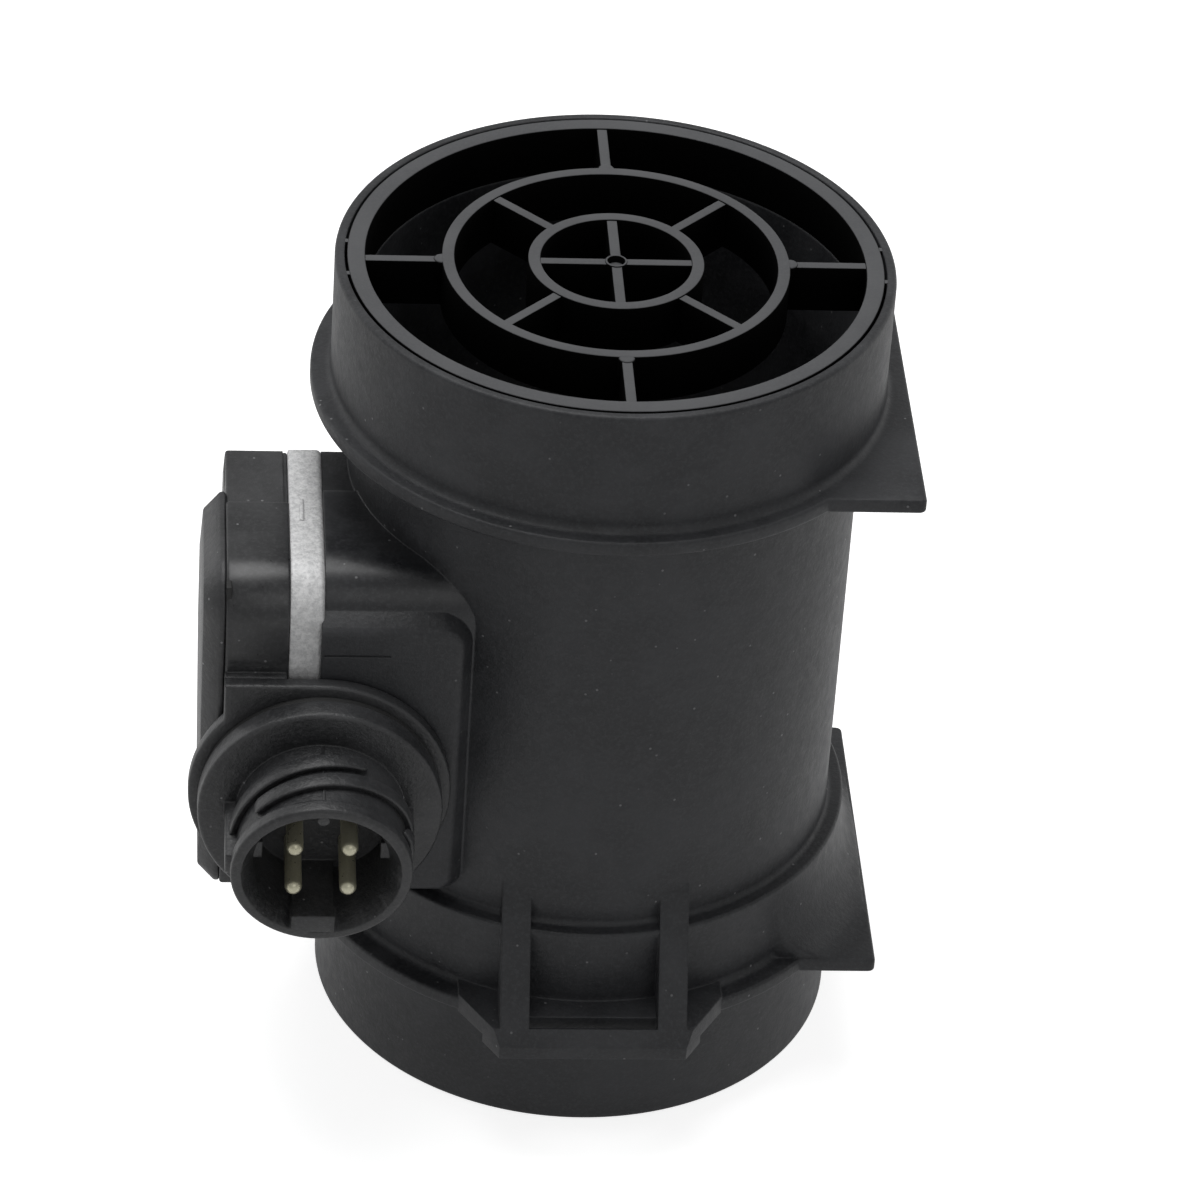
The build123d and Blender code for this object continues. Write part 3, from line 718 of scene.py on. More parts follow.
def woven_tree() -> TreeMaker:
    """Tree that weaves round wires over and under each other inside a circle."""
    maker = TreeMaker("woven_wires", Wires=int, Pitch=float, Wire_Radius=float, Reach=float)
    pitch, reach, radius = maker.given("Pitch"), maker.given("Reach"), maker.given("Wire Radius")
    count = maker.given("Wires")
    ways = []
    for turn, side in ((0.0, 1.0), (math.pi / 2, -1.0)):
        across = (maker.geo("InputIndex") - (count - 1.0) * 0.5) * pitch
        half = maker.math("SQRT", reach * reach - across * across)
        points = maker.geo("Points", Count=count, Position=maker.vector(Y=across))
        line = maker.geo("CurvePrimitiveLine", Start=(-1.0, 0.0, 0.0), End=(1.0, 0.0, 0.0))
        wires = maker.geo(
            "InstanceOnPoints", Points=points, Instance=line, Scale=maker.vector(X=half, Y=1.0, Z=1.0)
        )
        wires = maker.geo("RealizeInstances", Geometry=wires)
        wires = maker.geo("ResampleCurve", {"mode": "LENGTH"}, Curve=wires, Length=pitch * 0.25)
        place = maker.geo("InputPosition")
        wave = maker.math("COSINE", place.axis("X") / pitch * math.pi)
        wave = wave * maker.math("COSINE", place.axis("Y") / pitch * math.pi)
        lift = maker.vector(Z=wave * radius * side)
        wires = maker.geo("SetPosition", Geometry=wires, Offset=lift)
        ring = maker.geo("CurvePrimitiveCircle", Resolution=7, Radius=radius)
        mesh = maker.geo("CurveToMesh", Curve=wires, Profile_Curve=ring, Fill_Caps=True)
        ways.append(maker.geo("Transform", Geometry=mesh, Rotation=(0.0, 0.0, turn)))
    maker.close(maker.geo("JoinGeometry", Geometry=ways))
    return maker


def helical_rib_tree() -> TreeMaker:
    """Tree that winds a flat-topped rib round a barrel, with both its ends run out."""
    maker = TreeMaker(
        "helical_rib", Radius=float, Depth=float, Turn=float, Rise=float, Base_Width=float,
        Crest_Width=float, Low=float, Run_Out=float,
    )
    radius, depth = maker.given("Radius"), maker.given("Depth")
    line = maker.geo("CurvePrimitiveLine", End=(0.0, 0.0, 1.0))
    line = maker.geo("ResampleCurve", Curve=line, Count=97)
    share = maker.geo("InputPosition").axis("Z")
    angle = share * maker.given("Turn")
    spot = maker.vector(
        X=maker.math("COSINE", angle) * radius, Y=maker.math("SINE", angle) * radius,
        Z=maker.given("Low") + share * maker.given("Rise"),
    )
    path = maker.geo("SetPosition", Geometry=line, Position=spot)
    path = maker.geo("SetCurveNormal", {"mode": "Z_UP"}, Curve=path)
    shape = maker.geo(
        "CurvePrimitiveQuadrilateral", {"mode": "TRAPEZOID"}, Height=depth, Offset=0.0,
        Bottom_Width=maker.given("Base Width"), Top_Width=maker.given("Crest Width"),
    )
    shape = maker.geo("Transform", Geometry=shape, Rotation=(0.0, 0.0, math.pi / 2))
    shape = maker.geo("FilletCurve", {"mode": "POLY"}, Curve=shape, Count=3, Radius=depth * 0.22)
    factor = maker.geo("SplineParameter")
    near = maker.math("MINIMUM", factor, 1.0 - factor) / maker.given("Run Out")
    near = maker.math("MINIMUM", near, 1.0)
    size = maker.math("SQRT", near * (2.0 - near) + 0.02)
    maker.close(
        maker.geo("CurveToMesh", Curve=path, Profile_Curve=shape, Scale=size, Fill_Caps=True)
    )
    return maker


def pin_grid_tree() -> TreeMaker:
    """Tree that draws round-tipped contact pins and stands them on a square grid."""
    maker = TreeMaker("pin_grid", Length=float, Radius=float, Tip_Radius=float, Pitch=float)
    length, radius, tip, pitch = (
        maker.given(key) for key in ("Length", "Radius", "Tip Radius", "Pitch")
    )
    line = maker.geo("CurvePrimitiveLine", End=(0.0, 0.0, 1.0))
    line = maker.geo("ResampleCurve", Curve=line, Count=49)
    height = maker.geo("InputPosition").axis("Z")
    eased = 1.0 - (1.0 - height) ** 3.0
    path = maker.geo("SetPosition", Geometry=line, Position=maker.vector(Z=eased * length))
    into = maker.math("MAXIMUM", height - (length - tip), 0.0)
    inside = maker.math("MAXIMUM", tip * tip - into * into, 0.0)
    reach = maker.math("SQRT", inside) + radius - tip
    ring = maker.geo("CurvePrimitiveCircle", Resolution=40, Radius=1.0)
    mesh = maker.geo("CurveToMesh", Curve=path, Profile_Curve=ring, Scale=reach, Fill_Caps=True)
    spots = maker.geo("MeshGrid", Size_X=pitch, Size_Y=pitch, Vertices_X=2, Vertices_Y=2)
    maker.close(maker.geo("InstanceOnPoints", Points=spots, Instance=mesh))
    return maker


# Outline that pylon and module share


def inset_corners(corners: Sequence[Triple], inset: float) -> list[Triple]:
    """Move every side of an outline inwards.

    Args:
        corners: Each corner as (a, b, radius), in anticlockwise order.
        inset: Distance inwards.

    Returns:
        The new corners, whose arcs keep their centres.
    """
    made = []
    for index, (a, b, radius) in enumerate(corners):
        here = np.array((a, b))
        before, after = (
            np.array(corners[k % len(corners)][:2]) for k in (index - 1, index + 1)
        )
        first = (here - before) / np.linalg.norm(here - before)
        second = (after - here) / np.linalg.norm(after - here)
        turn = first[0] * second[1] - first[1] * second[0]
        left_first, left_second = np.array((-first[1], first[0])), np.array((-second[1], second[0]))
        shift = (left_first + left_second) / (1 + float(left_first @ left_second)) * inset
        radius = max(radius - inset, 0.12) if turn > 0 else radius + inset
        made.append((*(here + shift), radius))
    return made


@dataclass(frozen=True)
class Slab:
    """Outline that pylon, plate, housing and lid share, across X.

    Attributes:
        front: Y of the front side.
        back: Y of the rear side.
        low: Height of the lower side.
        top: Height of the upper side.
        clip: Size of the upper rear corner's clip.
        low_clip: Size of the lower rear corner's clip.
        lid_clip: How much larger both clips are on the lid, which leaves the lugs bare.
        lid_inset: How far the lid's sides lie inside the housing's.
        lug_y: Y of the step to the rear lug.
        lug_drop: Height of that step.
        lug_rounds: Radii at the step's foot and head.
        front_rounds: Radii of the lower and upper front corners.
    """

    front: float = -35.0
    back: float = 14.0
    low: float = 40.0
    top: float = 98.5
    clip: float = 12.8
    low_clip: float = 8.0
    lid_clip: float = 10.8
    lid_inset: float = 0.4
    lug_y: float = -12.5
    lug_drop: float = 1.0
    lug_rounds: Point = (0.2, 0.8)
    front_rounds: Point = (4.0, 8.0)

    def corners(self, lug: bool = False, more: float = 0.0, corner: float = 0.8) -> list[Triple]:
        """Corners of the outline as (y, z, radius).

        Args:
            lug: Whether the rear lug lies a step lower.
            more: How much larger the rear clips are.
            corner: Radius of the rear corners.

        Returns:
            The corners, anticlockwise.
        """
        clip, low_clip = self.clip + more, self.low_clip + more
        rear = [(self.back - clip, self.top, corner)]
        if lug:
            step, foot = self.top - self.lug_drop, self.back - clip + self.lug_drop
            rear = [
                (foot, step, corner), (self.lug_y, step, self.lug_rounds[0]),
                (self.lug_y, self.top, self.lug_rounds[1]),
            ]
        return [
            (self.front, self.low, self.front_rounds[0]), (self.back - low_clip, self.low, corner),
            (self.back, self.low + low_clip, corner), (self.back, self.top - clip, corner),
            *rear, (self.front, self.top, self.front_rounds[1]),
        ]

    def lid_corners(self) -> list[Triple]:
        """Corners of the lid."""
        return inset_corners(self.corners(more=self.lid_clip, corner=1.2), self.lid_inset)


# Duct


@dataclass(frozen=True)
class Ear:
    """A flange's square ear, on the side away from the module.

    Attributes:
        reach: Distance of its flat edge from the axis.
        half_width: Half its length along Y.
        corner: Radius of its two corners.
    """

    reach: float
    half_width: float
    corner: float = 0.8

    def edge(self, angle: float) -> float:
        """Distance from the axis to the ear's outline along a ray, or 0 on the other side."""
        across, along = math.cos(angle), abs(math.sin(angle))
        if across <= 0:
            return 0.0
        to_flat = self.reach / across
        to_end = self.half_width / along if along > 1e-6 else math.inf
        centre = np.array((self.reach - self.corner, self.half_width - self.corner))
        ray = np.array((across, along))
        nearest = float(ray @ centre)
        inside = nearest**2 - float(centre @ centre) + self.corner**2
        plain_reach = min(to_flat, to_end)
        if inside <= 0:
            return plain_reach
        rounded_reach = nearest + math.sqrt(inside)
        past_corner = np.all(ray * rounded_reach > centre)
        return rounded_reach if past_corner else plain_reach


@dataclass(frozen=True)
class Duct:
    """The duct moulding: tube, flanges with ears, coved ring, clip loops, pylon and pad."""

    length: float = 134.8
    top_r: float = 42.5
    low_r: float = 41.5
    body_r: float = 39.35
    bore_r: float = 36.85
    mesh_seat_r: float = 38.9
    mesh_seat_z: float = 20.0
    grid_seat_r: float = 41.0
    grid_frame_r: float = 37.9
    grid_h: float = 8.0
    flange_r: float = 45.6
    flange_t: float = 2.4
    low_flange_z: float = 21.6
    top_flange_z: float = 112.2
    ring_r: float = 42.0
    ring_top_z: float = 37.8
    cove_reach: float = 8.0
    cove_top_z: float = 36.8
    cove_margin: float = 0.6
    cove_root: tuple[Point, ...] = ((1.2, 0.0), (0.75, 0.04), (0.35, 0.3), (0.12, 0.6), (0.0, 1.1))
    top_ear: Ear = Ear(45.8, 33.4)
    low_ear: Ear = Ear(45.8, 30.6)
    loop_outer_x: float = 14.5
    loop_inner_x: float = 10.0
    loop_front_y: float = 50.6
    loop_slot: Point = (46.0, 48.6)
    loop_heel: Point = (46.5, 21.6)
    loop_inside: Point = (30.0, 21.0)
    loop_over: float = 6.0
    loop_far: float = 60.0
    loop_round: float = 0.45
    loop_top_z: float = 24.7
    loop_base_z: float = 20.1
    loop_nose_z: float = 22.3
    loop_base_x: float = 20.6
    loop_root_y: float = 40.68
    loop_rise: float = 22.7
    loop_run: float = 14.52
    wall_r: float = 38.0
    module_x: float = 43.4
    pylon_shape: Slab = Slab(front=-33.5, lug_y=-9.5, lug_drop=0.9, lug_rounds=(0.25, 0.4))
    pylon_step: float = 1.2
    pad_right_x: float = 19.9
    pad_z: Point = (39.2, 93.6)
    pad_root_y: float = 32.0
    pad_face_y: float = 36.0
    pad_slope: float = 34.0
    pad_line: Box = ((-43.4, -36.5, 86.3), (-33.3, -35.75, 86.55))

    def profile(self) -> list[Point]:
        """Outline of the wall's section as (radius, height), with its edges rounded."""
        grid_z = self.length - self.grid_h
        low_top = self.low_flange_z + self.flange_t
        high_top = self.top_flange_z + self.flange_t
        cove_z = [
            low_top + (self.cove_top_z - low_top) * t * t for t in np.linspace(0.33, 1, 14)
        ]
        return rounded([
            (self.mesh_seat_r, 0.0, 0.35), (self.low_r, 0.0, 0.7),
            (self.low_r, self.low_flange_z, 0.4), (self.flange_r, self.low_flange_z, 0.5),
            (self.flange_r, low_top, 0.5),
            *[(self.ring_r + out, low_top + up, 0.0) for out, up in self.cove_root],
            *[(self.ring_r, z, 0.0) for z in cove_z],
            (self.ring_r, self.ring_top_z, 0.5), (self.body_r, self.ring_top_z, 0.9),
            *[(self.body_r, z, 0.0) for z in np.linspace(40.0, 110.0, 29)],
            (self.body_r, self.top_flange_z, 0.5), (self.flange_r, self.top_flange_z, 0.5),
            (self.flange_r, high_top, 0.5), (self.top_r, high_top, 1.3),
            (self.top_r, self.length, 0.6), (self.grid_seat_r, self.length, 0.3),
            (self.grid_seat_r, grid_z, 0.2), (self.grid_frame_r, grid_z, 0.3),
            (self.bore_r, self.top_flange_z, 3.0), (self.bore_r, self.mesh_seat_z, 0.3),
            (self.mesh_seat_r, self.mesh_seat_z, 0.2),
        ], 4)

    def reach(self, radius: float, height: float, angle: float) -> float:
        """How far the wall's section reaches along a ray, with ears and cove taken in.

        Args:
            radius: The section's own radius.
            height: Height of the point.
            angle: Direction of the ray.

        Returns:
            The radius there.
        """
        low_top = self.low_flange_z + self.flange_t
        for ear, low in ((self.low_ear, self.low_flange_z), (self.top_ear, self.top_flange_z)):
            on_flange = low - 0.01 < height < low + self.flange_t + 0.01
            outside = radius > max(self.ring_r, self.top_r) + 1.5
            if on_flange and outside:
                return max(radius, ear.edge(angle) - (self.flange_r - radius))
        on_cove = low_top - 0.01 < height < self.cove_top_z
        if on_cove and self.ring_r - 0.01 < radius < self.ring_r + 1.5:
            share = 1 - math.sqrt(max(height - low_top, 0.0) / (self.cove_top_z - low_top))
            sweep = self.ring_r + self.cove_reach * share * share
            return max(radius, min(sweep, self.low_ear.edge(angle) - self.cove_margin))
        return radius

    def wall(self) -> Obj:
        """The turned wall with its flanges, ears and cove."""
        fine = [sign * math.radians(a) for a in np.arange(30, 49, 0.25) for sign in (-1, 1)]
        coarse = [2 * math.pi * k / 240 - math.pi for k in range(240)]
        angles = sorted(fine + [a for a in coarse if not 29.9 < abs(math.degrees(a)) < 49.1])
        on_axis = about("Z")

        def place(radius: float, height: float, angle: float) -> Sequence[float]:
            """Point of the wall on a ray."""
            return on_axis(self.reach(radius, height, angle), height, angle)

        return turned("duct_wall", self.profile(), place, angles)

    def clip_loop(self, side: float) -> Obj:
        """The loop that a wire clip hooks under.

        Args:
            side: -1 for the front, 1 for the back.

        Returns:
            The loop, reaching into the wall.
        """
        front, base, width = self.loop_front_y, self.loop_base_z, self.loop_base_x
        over, far = self.loop_over, self.loop_far
        (inside_y, inside_z), (heel_y, heel_z) = self.loop_inside, self.loop_heel
        crest_z = self.loop_nose_z + self.loop_rise * (1 + over / self.loop_run)
        side_view = [
            (-inside_y, inside_z), (-heel_y, heel_z), (-heel_y, base), (-front, base),
            (-front, self.loop_nose_z), (-front + self.loop_run + over, crest_z),
        ]
        loop = prism("clip_loop", side_view, -width, width, across_x)
        start = math.asin(width / self.wall_r)
        plan = [
            (self.wall_r * math.sin(a), -self.wall_r * math.cos(a))
            for a in np.linspace(start, -start, 17)
        ]
        plan += [
            (-width, -self.loop_root_y), (-self.loop_outer_x, -front),
            (self.loop_outer_x, -front), (width, -self.loop_root_y),
        ]
        combine(loop, prism("clip_loop_plan", plan, 0.0, far, across_z), Join.KEEP)
        inner, outer, top = self.loop_inner_x, self.loop_outer_x, self.loop_top_z
        slot_back, slot_front = self.loop_slot
        for low, high in (
            ((-inner, -far, top), (inner, 0, far)), ((outer, -far, top), (far, 0, far)),
            ((-far, -far, top), (-outer, 0, far)),
            ((-inner, -slot_front, 0), (inner, -slot_back, far)),
        ):
            with_block(loop, low, high)
        soften(loop, self.loop_round)
        if side > 0:
            loop.data.transform(Matrix.Rotation(math.pi, 4, "Z"))
        return loop

    def pylon(self) -> Obj:
        """The block between wall and heat sink plate."""
        outline = rounded(self.pylon_shape.corners(lug=True), 8)
        fine: list[Point] = []
        for index, point in enumerate(outline):
            here, after = np.array(point), np.array(outline[(index + 1) % len(outline)])
            parts = max(1, round(math.dist(here, after) / self.pylon_step))
            fine += [tuple(here + (after - here) * k / parts) for k in range(parts)]
        near = self.module_x
        loops = [
            np.array([
                (-near - (math.sqrt(self.wall_r**2 - y * y) - near) * share, y, z) for y, z in fine
            ])
            for share in np.linspace(0, 1, 12)
        ]
        return loops_object("pylon", loops)

    def pad(self) -> Obj:
        """The raised pad on the pylon's front, with sloped sides and a thin moulded line."""
        depth = self.pad_face_y - self.pad_root_y
        inset = depth * math.tan(math.radians(self.pad_slope))
        section = rounded([(0.0, 0.0, 0.0), (inset, depth, 1.6), (inset + 1.6, depth, 0.0)], 6)
        left, (low, high) = -self.module_x - 0.4, self.pad_z
        loops = []
        for into, out in section:
            right = -self.pad_right_x - into
            outline = rounded([
                (left, low + into, 0.0), (right, low + into, max(4.6 - into, 0.3)),
                (right, high - into, max(6.0 - into, 0.3)), (left, high - into, 0.0),
            ], 9)
            loops.append(np.array([(x, -self.pad_root_y - out, z) for x, z in outline]))
        return with_block(loops_object("pad", loops), *self.pad_line)

    def build(self) -> None:
        """Make the duct body and dress it."""
        body = self.wall()
        body.name = "duct_moulding"
        for part in (self.pylon(), self.pad(), self.clip_loop(-1), self.clip_loop(1)):
            body = combine(body, part, Join.ADD)
        finish_piece(body, Slot.DUCT, "duct_body", "front_clip_loop", "back_clip_loop")


@dataclass(frozen=True)
class Grid:
    """The air grid in the upper rim: frame, two rings, hub and spokes."""

    top_z: float = 134.8
    height: float = 8.0
    frame: Point = (37.9, 40.65)
    middle: Point = (24.45, 26.35)
    inner: Point = (11.45, 13.35)
    hub_r: float = 1.7
    hub_sunk: float = 0.05
    dimple_r: Point = (1.2, 1.35)
    dimple: float = 1.2
    spoke_w: float = 1.6
    spoke_start: float = 1.4
    overlap: float = 0.5
    sunk: float = 0.25
    nub_r: float = 1.3
    nub_h: float = 3.0
    tab_w: float = 9.0
    tab_half: float = 0.5
    seat_r: float = 41.0

    def ring(self, name: str, reach: Point, round_by: float) -> Obj:
        """A turned ring between two radii."""
        low = self.top_z - self.height
        section = rounded([
            (reach[0], low, 0.2), (reach[1], low, 0.2), (reach[1], self.top_z, round_by),
            (reach[0], self.top_z, round_by),
        ], 3)
        return turned(name, section, about("Z"), 180)

    def spoke(self, start: float, end: float) -> Obj:
        """One rounded bar along X between two radii."""
        half, low, high = self.spoke_w / 2, self.top_z - self.height, self.top_z - self.sunk
        corners = ((-half, low), (half, low), (half, high), (-half, high))
        section = rounded([(a, b, 0.15) for a, b in corners], 3)
        return prism("spoke", section, start, end, across_x)

    def hub(self) -> Obj:
        """The hub with the dimple that its sprue left."""
        low, high = self.top_z - self.height, self.top_z - self.hub_sunk
        floor, (floor_r, mouth_r) = self.top_z - self.dimple, self.dimple_r
        section = rounded([
            (0.0, low, 0.0), (self.hub_r, low, 0.2), (self.hub_r, high, 0.15),
            (mouth_r, high, 0.1), (floor_r, floor, 0.2), (0.0, floor, 0.0),
        ], 3)
        return turned("hub", section[1:-1], about("Z"), 40, closed=False)

    def build(self, copies: TreeMaker) -> None:
        """Make the grid and dress it.

        Args:
            copies: Tree that repeats the spokes, nubs and snap tabs.
        """
        parts = [
            self.ring("grid_frame", self.frame, 0.25), self.ring("middle_ring", self.middle, 0.2),
            self.ring("inner_ring", self.inner, 0.2), self.hub(),
        ]
        into = self.overlap
        rows = (
            (self.spoke_start, self.inner[0] + into, 0.0),
            (self.inner[1] - into, self.middle[0] + into, 45.0),
            (self.middle[1] - into, self.frame[0] + into, 0.0),
        )
        for start, end, turn in rows:
            bar = self.spoke(start, end)
            parts.append(copies.run(bar, Slot.GRID, Count=4, Start_Angle=math.radians(turn)))
        foot, head = self.top_z - self.nub_h, self.top_z - self.hub_sunk
        section = rounded(
            [(0.0, foot, 0.0), (self.nub_r, foot, 0.0), (self.nub_r, head, 0.4), (0.0, head, 0.0)], 3
        )
        nub = turned("joint_nub", section[1:-1], about("Z", self.middle[1]), 32, closed=False)
        parts.append(copies.run(nub, Slot.GRID, Count=4, Start_Angle=0.0))
        for offset in (-self.tab_w / 2, self.tab_w / 2):
            tab = block(
                "snap_tab", (self.frame[1] - 0.4, offset - self.tab_half, self.top_z - 3.0),
                (self.seat_r + 0.2, offset + self.tab_half, self.top_z - 0.1),
            )
            parts.append(copies.run(soften(tab, 0.15, 2), Slot.GRID, Count=2, Start_Angle=0.0))
        finish_piece(merge("air_grid", parts), Slot.GRID, "inlet_grid")


@dataclass(frozen=True)
class OutletMesh:
    """The woven wire mesh in the lower spigot, and the ring that holds it."""

    reach: float = 36.7
    height: float = 17.5
    pitch: float = 3.1
    wire_r: float = 0.2
    wires: int = 23
    ring_r: Point = (36.8, 38.8)
    ring_z: Point = (15.0, 20.0)

    def build(self, woven: TreeMaker) -> None:
        """Make the mesh and its ring.

        Args:
            woven: Tree that weaves the wires.
        """
        mesh = woven.run(
            empty_object("woven_mesh"), Slot.MESH, Wires=self.wires, Pitch=self.pitch * MM,
            Wire_Radius=self.wire_r * MM, Reach=self.reach * MM,
        )
        mesh.data.transform(Matrix.Translation((0, 0, self.height * MM)))
        finish_piece(mesh, Slot.MESH, "outlet_mesh")
        (inner, outer), (low, high) = self.ring_r, self.ring_z
        section = rounded(
            [(inner, low, 0.5), (outer, low, 0.3), (outer, high, 0.2), (inner, high, 0.3)], 3
        )
        finish_piece(turned("mesh_frame", section, about("Z"), 180), Slot.GRID, "mesh_ring")


# Electronics module


def stack(name: str, corners: Sequence[Triple], steps: Sequence[Point], arc_steps: int = 8) -> Obj:
    """Skin an outline along -X.

    Args:
        name: Object name.
        corners: Outline across X as (y, z, radius).
        steps: Each step's (inset, distance along -X).
        arc_steps: Segments in each rounded corner.

    Returns:
        The solid.
    """
    return loops_object(name, [
        np.array([(-x, y, z) for y, z in rounded(inset_corners(corners, inset), arc_steps)])
        for inset, x in steps
    ])


def rounded_ends(start: float, end: float, first: float, last: float) -> list[Point]:
    """Steps of a slab whose rims are rounded by the first radius and the last."""
    arc = np.linspace(0, math.pi / 2, 4)
    return [
        *[(first * (1 - math.sin(a)), start + first * (1 - math.cos(a))) for a in arc],
        *[(last * (1 - math.cos(a)), end - last * (1 - math.sin(a))) for a in arc],
    ]


@dataclass(frozen=True)
class Socket:
    """The round plug socket and its collars, on an axis along -Y."""

    x: float = -43.4
    z: float = 62.5
    back_y: float = 36.2
    rear_y: float = 38.6
    groove_y: float = 39.9
    face_y: float = 43.7
    tilt: float = 6.6
    rear_r: float = 20.0
    square_x: float = 14.8
    core_r: float = 17.0
    front_r: float = 18.6
    shell_r: float = 12.9
    bore_r: float = 10.3
    length: float = 13.4
    root: float = 2.6
    band_r: float = 13.7
    band: float = 2.6
    floor: float = 1.2
    mouth: Point = (1.9, 3.2)
    seam: Point = (0.14, 0.6)
    nub_r: float = 0.9
    rib_r: float = 13.2
    rib_depth: float = 1.6
    rib_widths: Point = (3.0, 1.8)
    rib_low: float = 1.8
    rib_rise: float = 6.67
    rib_turn: float = 200.0
    rib_start: float = -60.0
    rib_count: int = 3
    rib_run_out: float = 0.04
    pin_length: float = 12.6
    pin_r: Point = (1.3, 1.2)
    pin_pitch: float = 8.2

    def frame(self) -> Matrix:
        """The shell's own frame: its z runs out of the mouth, its x along X."""
        lean = math.radians(self.tilt)
        out = Vector((0, -math.cos(lean), -math.sin(lean)))
        up = Vector((0, -math.sin(lean), math.cos(lean)))
        turn = Matrix((Vector((1, 0, 0)), up, out)).transposed().to_4x4()
        spot = Vector((self.x, -self.face_y, self.z)) * MM
        return Matrix.Translation(spot) @ turn

    def collars(self) -> Obj:
        """Rear collar with its square corner, groove and front collar, as one solid."""
        on_axis = about("Y", self.x, self.z)
        angles = [2 * math.pi * k / 180 for k in range(180)]
        corner = math.atan2(self.rear_r, -self.square_x)
        angles = sorted({*angles, corner, *[corner + d for d in (-0.02, -0.01, 0.01, 0.02)]})

        def place(radius: float, distance: float, angle: float) -> Sequence[float]:
            """Point of the rear collar, squared at its upper left."""
            reach = self.rear_r
            if math.pi / 2 < angle < math.pi:
                flat = min(-self.square_x / math.cos(angle), self.rear_r / math.sin(angle))
                reach = max(flat, self.rear_r)
            return on_axis(reach - (self.rear_r - radius), distance, angle)

        section = [(1.0, self.back_y), *rounded([
            (1.0, self.back_y - 1.5, 0.0), (self.rear_r, self.back_y, 0.5),
            (self.rear_r, self.rear_y, 0.5), (1.0, self.rear_y, 0.0),
        ], 3)[1:]]
        rear = turned("rear_collar", section, place, angles, closed=False)
        section = rounded([
            (1.0, self.rear_y - 0.5, 0.0), (self.core_r, self.rear_y - 0.5, 0.0),
            (self.core_r, self.groove_y, 0.25), (self.front_r, self.groove_y, 0.35),
            (self.front_r, self.face_y, 0.7), (1.0, self.face_y, 0.0),
        ], 4)
        front = turned("front_collar", section, on_axis, 180, closed=False)
        return combine(rear, front, Join.ADD)

    def shell(self) -> Obj:
        """The tilted barrel with its band, lugs, seam and keyed bore, about its own Z axis."""
        end, neck = self.length, self.length - self.band
        outer = rounded([
            (1.0, -self.root, 0.0), (self.shell_r, -self.root, 0.0), (self.shell_r, neck, 0.25),
            (self.band_r, neck + 0.2, 0.35), (self.band_r, end, 0.55), (1.0, end, 0.0),
        ], 4)
        shell = turned("socket_shell", outer, about("Z"), 144, closed=False)
        half, sunk = self.seam
        for low, high, softness in (
            ((-14.5, -2.0, -2.0), (-11.6, 2.0, neck + 0.4), 0.35),
            ((-half, self.shell_r - sunk, -1.0), (half, self.shell_r + half, neck), 0.0),
            ((11.6, -1.3, -2.0), (14.1, 1.3, 8.0), 0.35),
        ):
            with_block(shell, low, high, Join.ADD, softness)
        wider, deep = self.mouth
        section = [
            (0.5, self.floor), (self.bore_r, self.floor), (self.bore_r, end - deep),
            (self.bore_r + wider, end + 0.1), (0.5, end + 0.1),
        ]
        bore = turned("bore", section, about("Z"), 144, closed=False)
        for low, high in (
            ((-4.25, -12.0, 0.0), (2.25, -8.7, end + 4)),
            ((-12.0, -0.1, 0.0), (-8.9, 3.1, end - 4)),
            ((8.9, -0.1, 0.0), (12.0, 3.1, end - 4)),
        ):
            with_block(bore, low, high)
        section = [(0.2, 0.0), (self.nub_r, 0.0), (self.nub_r, end - 1.2), (0.2, end - 1.2)]
        nub = turned("nub", section, about("Z", 0.0, self.bore_r), 24, closed=False)
        combine(shell, combine(bore, nub, Join.CUT), Join.CUT)
        return soften(shell, 0.3, 2, 50)

    def build(self, copies: TreeMaker, rib: TreeMaker, pins: TreeMaker) -> Obj:
        """Make ribs and pins, and give back the solid that the housing takes in.

        Args:
            copies: Tree that repeats the ribs.
            rib: Tree that winds one rib.
            pins: Tree that stands the contact pins.

        Returns:
            Collars and shell as one solid.
        """
        base, crest = self.rib_widths
        ribs = rib.run(
            empty_object("bayonet_ribs"), Slot.MODULE, Radius=self.rib_r * MM,
            Depth=self.rib_depth * MM, Turn=math.radians(self.rib_turn), Rise=self.rib_rise * MM,
            Base_Width=base * MM, Crest_Width=crest * MM, Low=self.rib_low * MM,
            Run_Out=self.rib_run_out,
        )
        start = math.radians(self.rib_start)
        ribs = copies.run(ribs, Slot.MODULE, Count=self.rib_count, Start_Angle=start)
        radius, tip = self.pin_r
        contacts = pins.run(
            empty_object("contact_pins"), Slot.PIN, Length=self.pin_length * MM,
            Radius=radius * MM, Tip_Radius=tip * MM, Pitch=self.pin_pitch * MM,
        )
        shell = self.shell()
        for part in (ribs, contacts, shell):
            part.data.transform(self.frame())
        finish_piece(ribs, Slot.MODULE, "module_housing")
        finish_piece(contacts, Slot.PIN, *[f"contact_pin_{n}" for n in range(1, 5)])
        return combine(self.collars(), shell, Join.ADD)


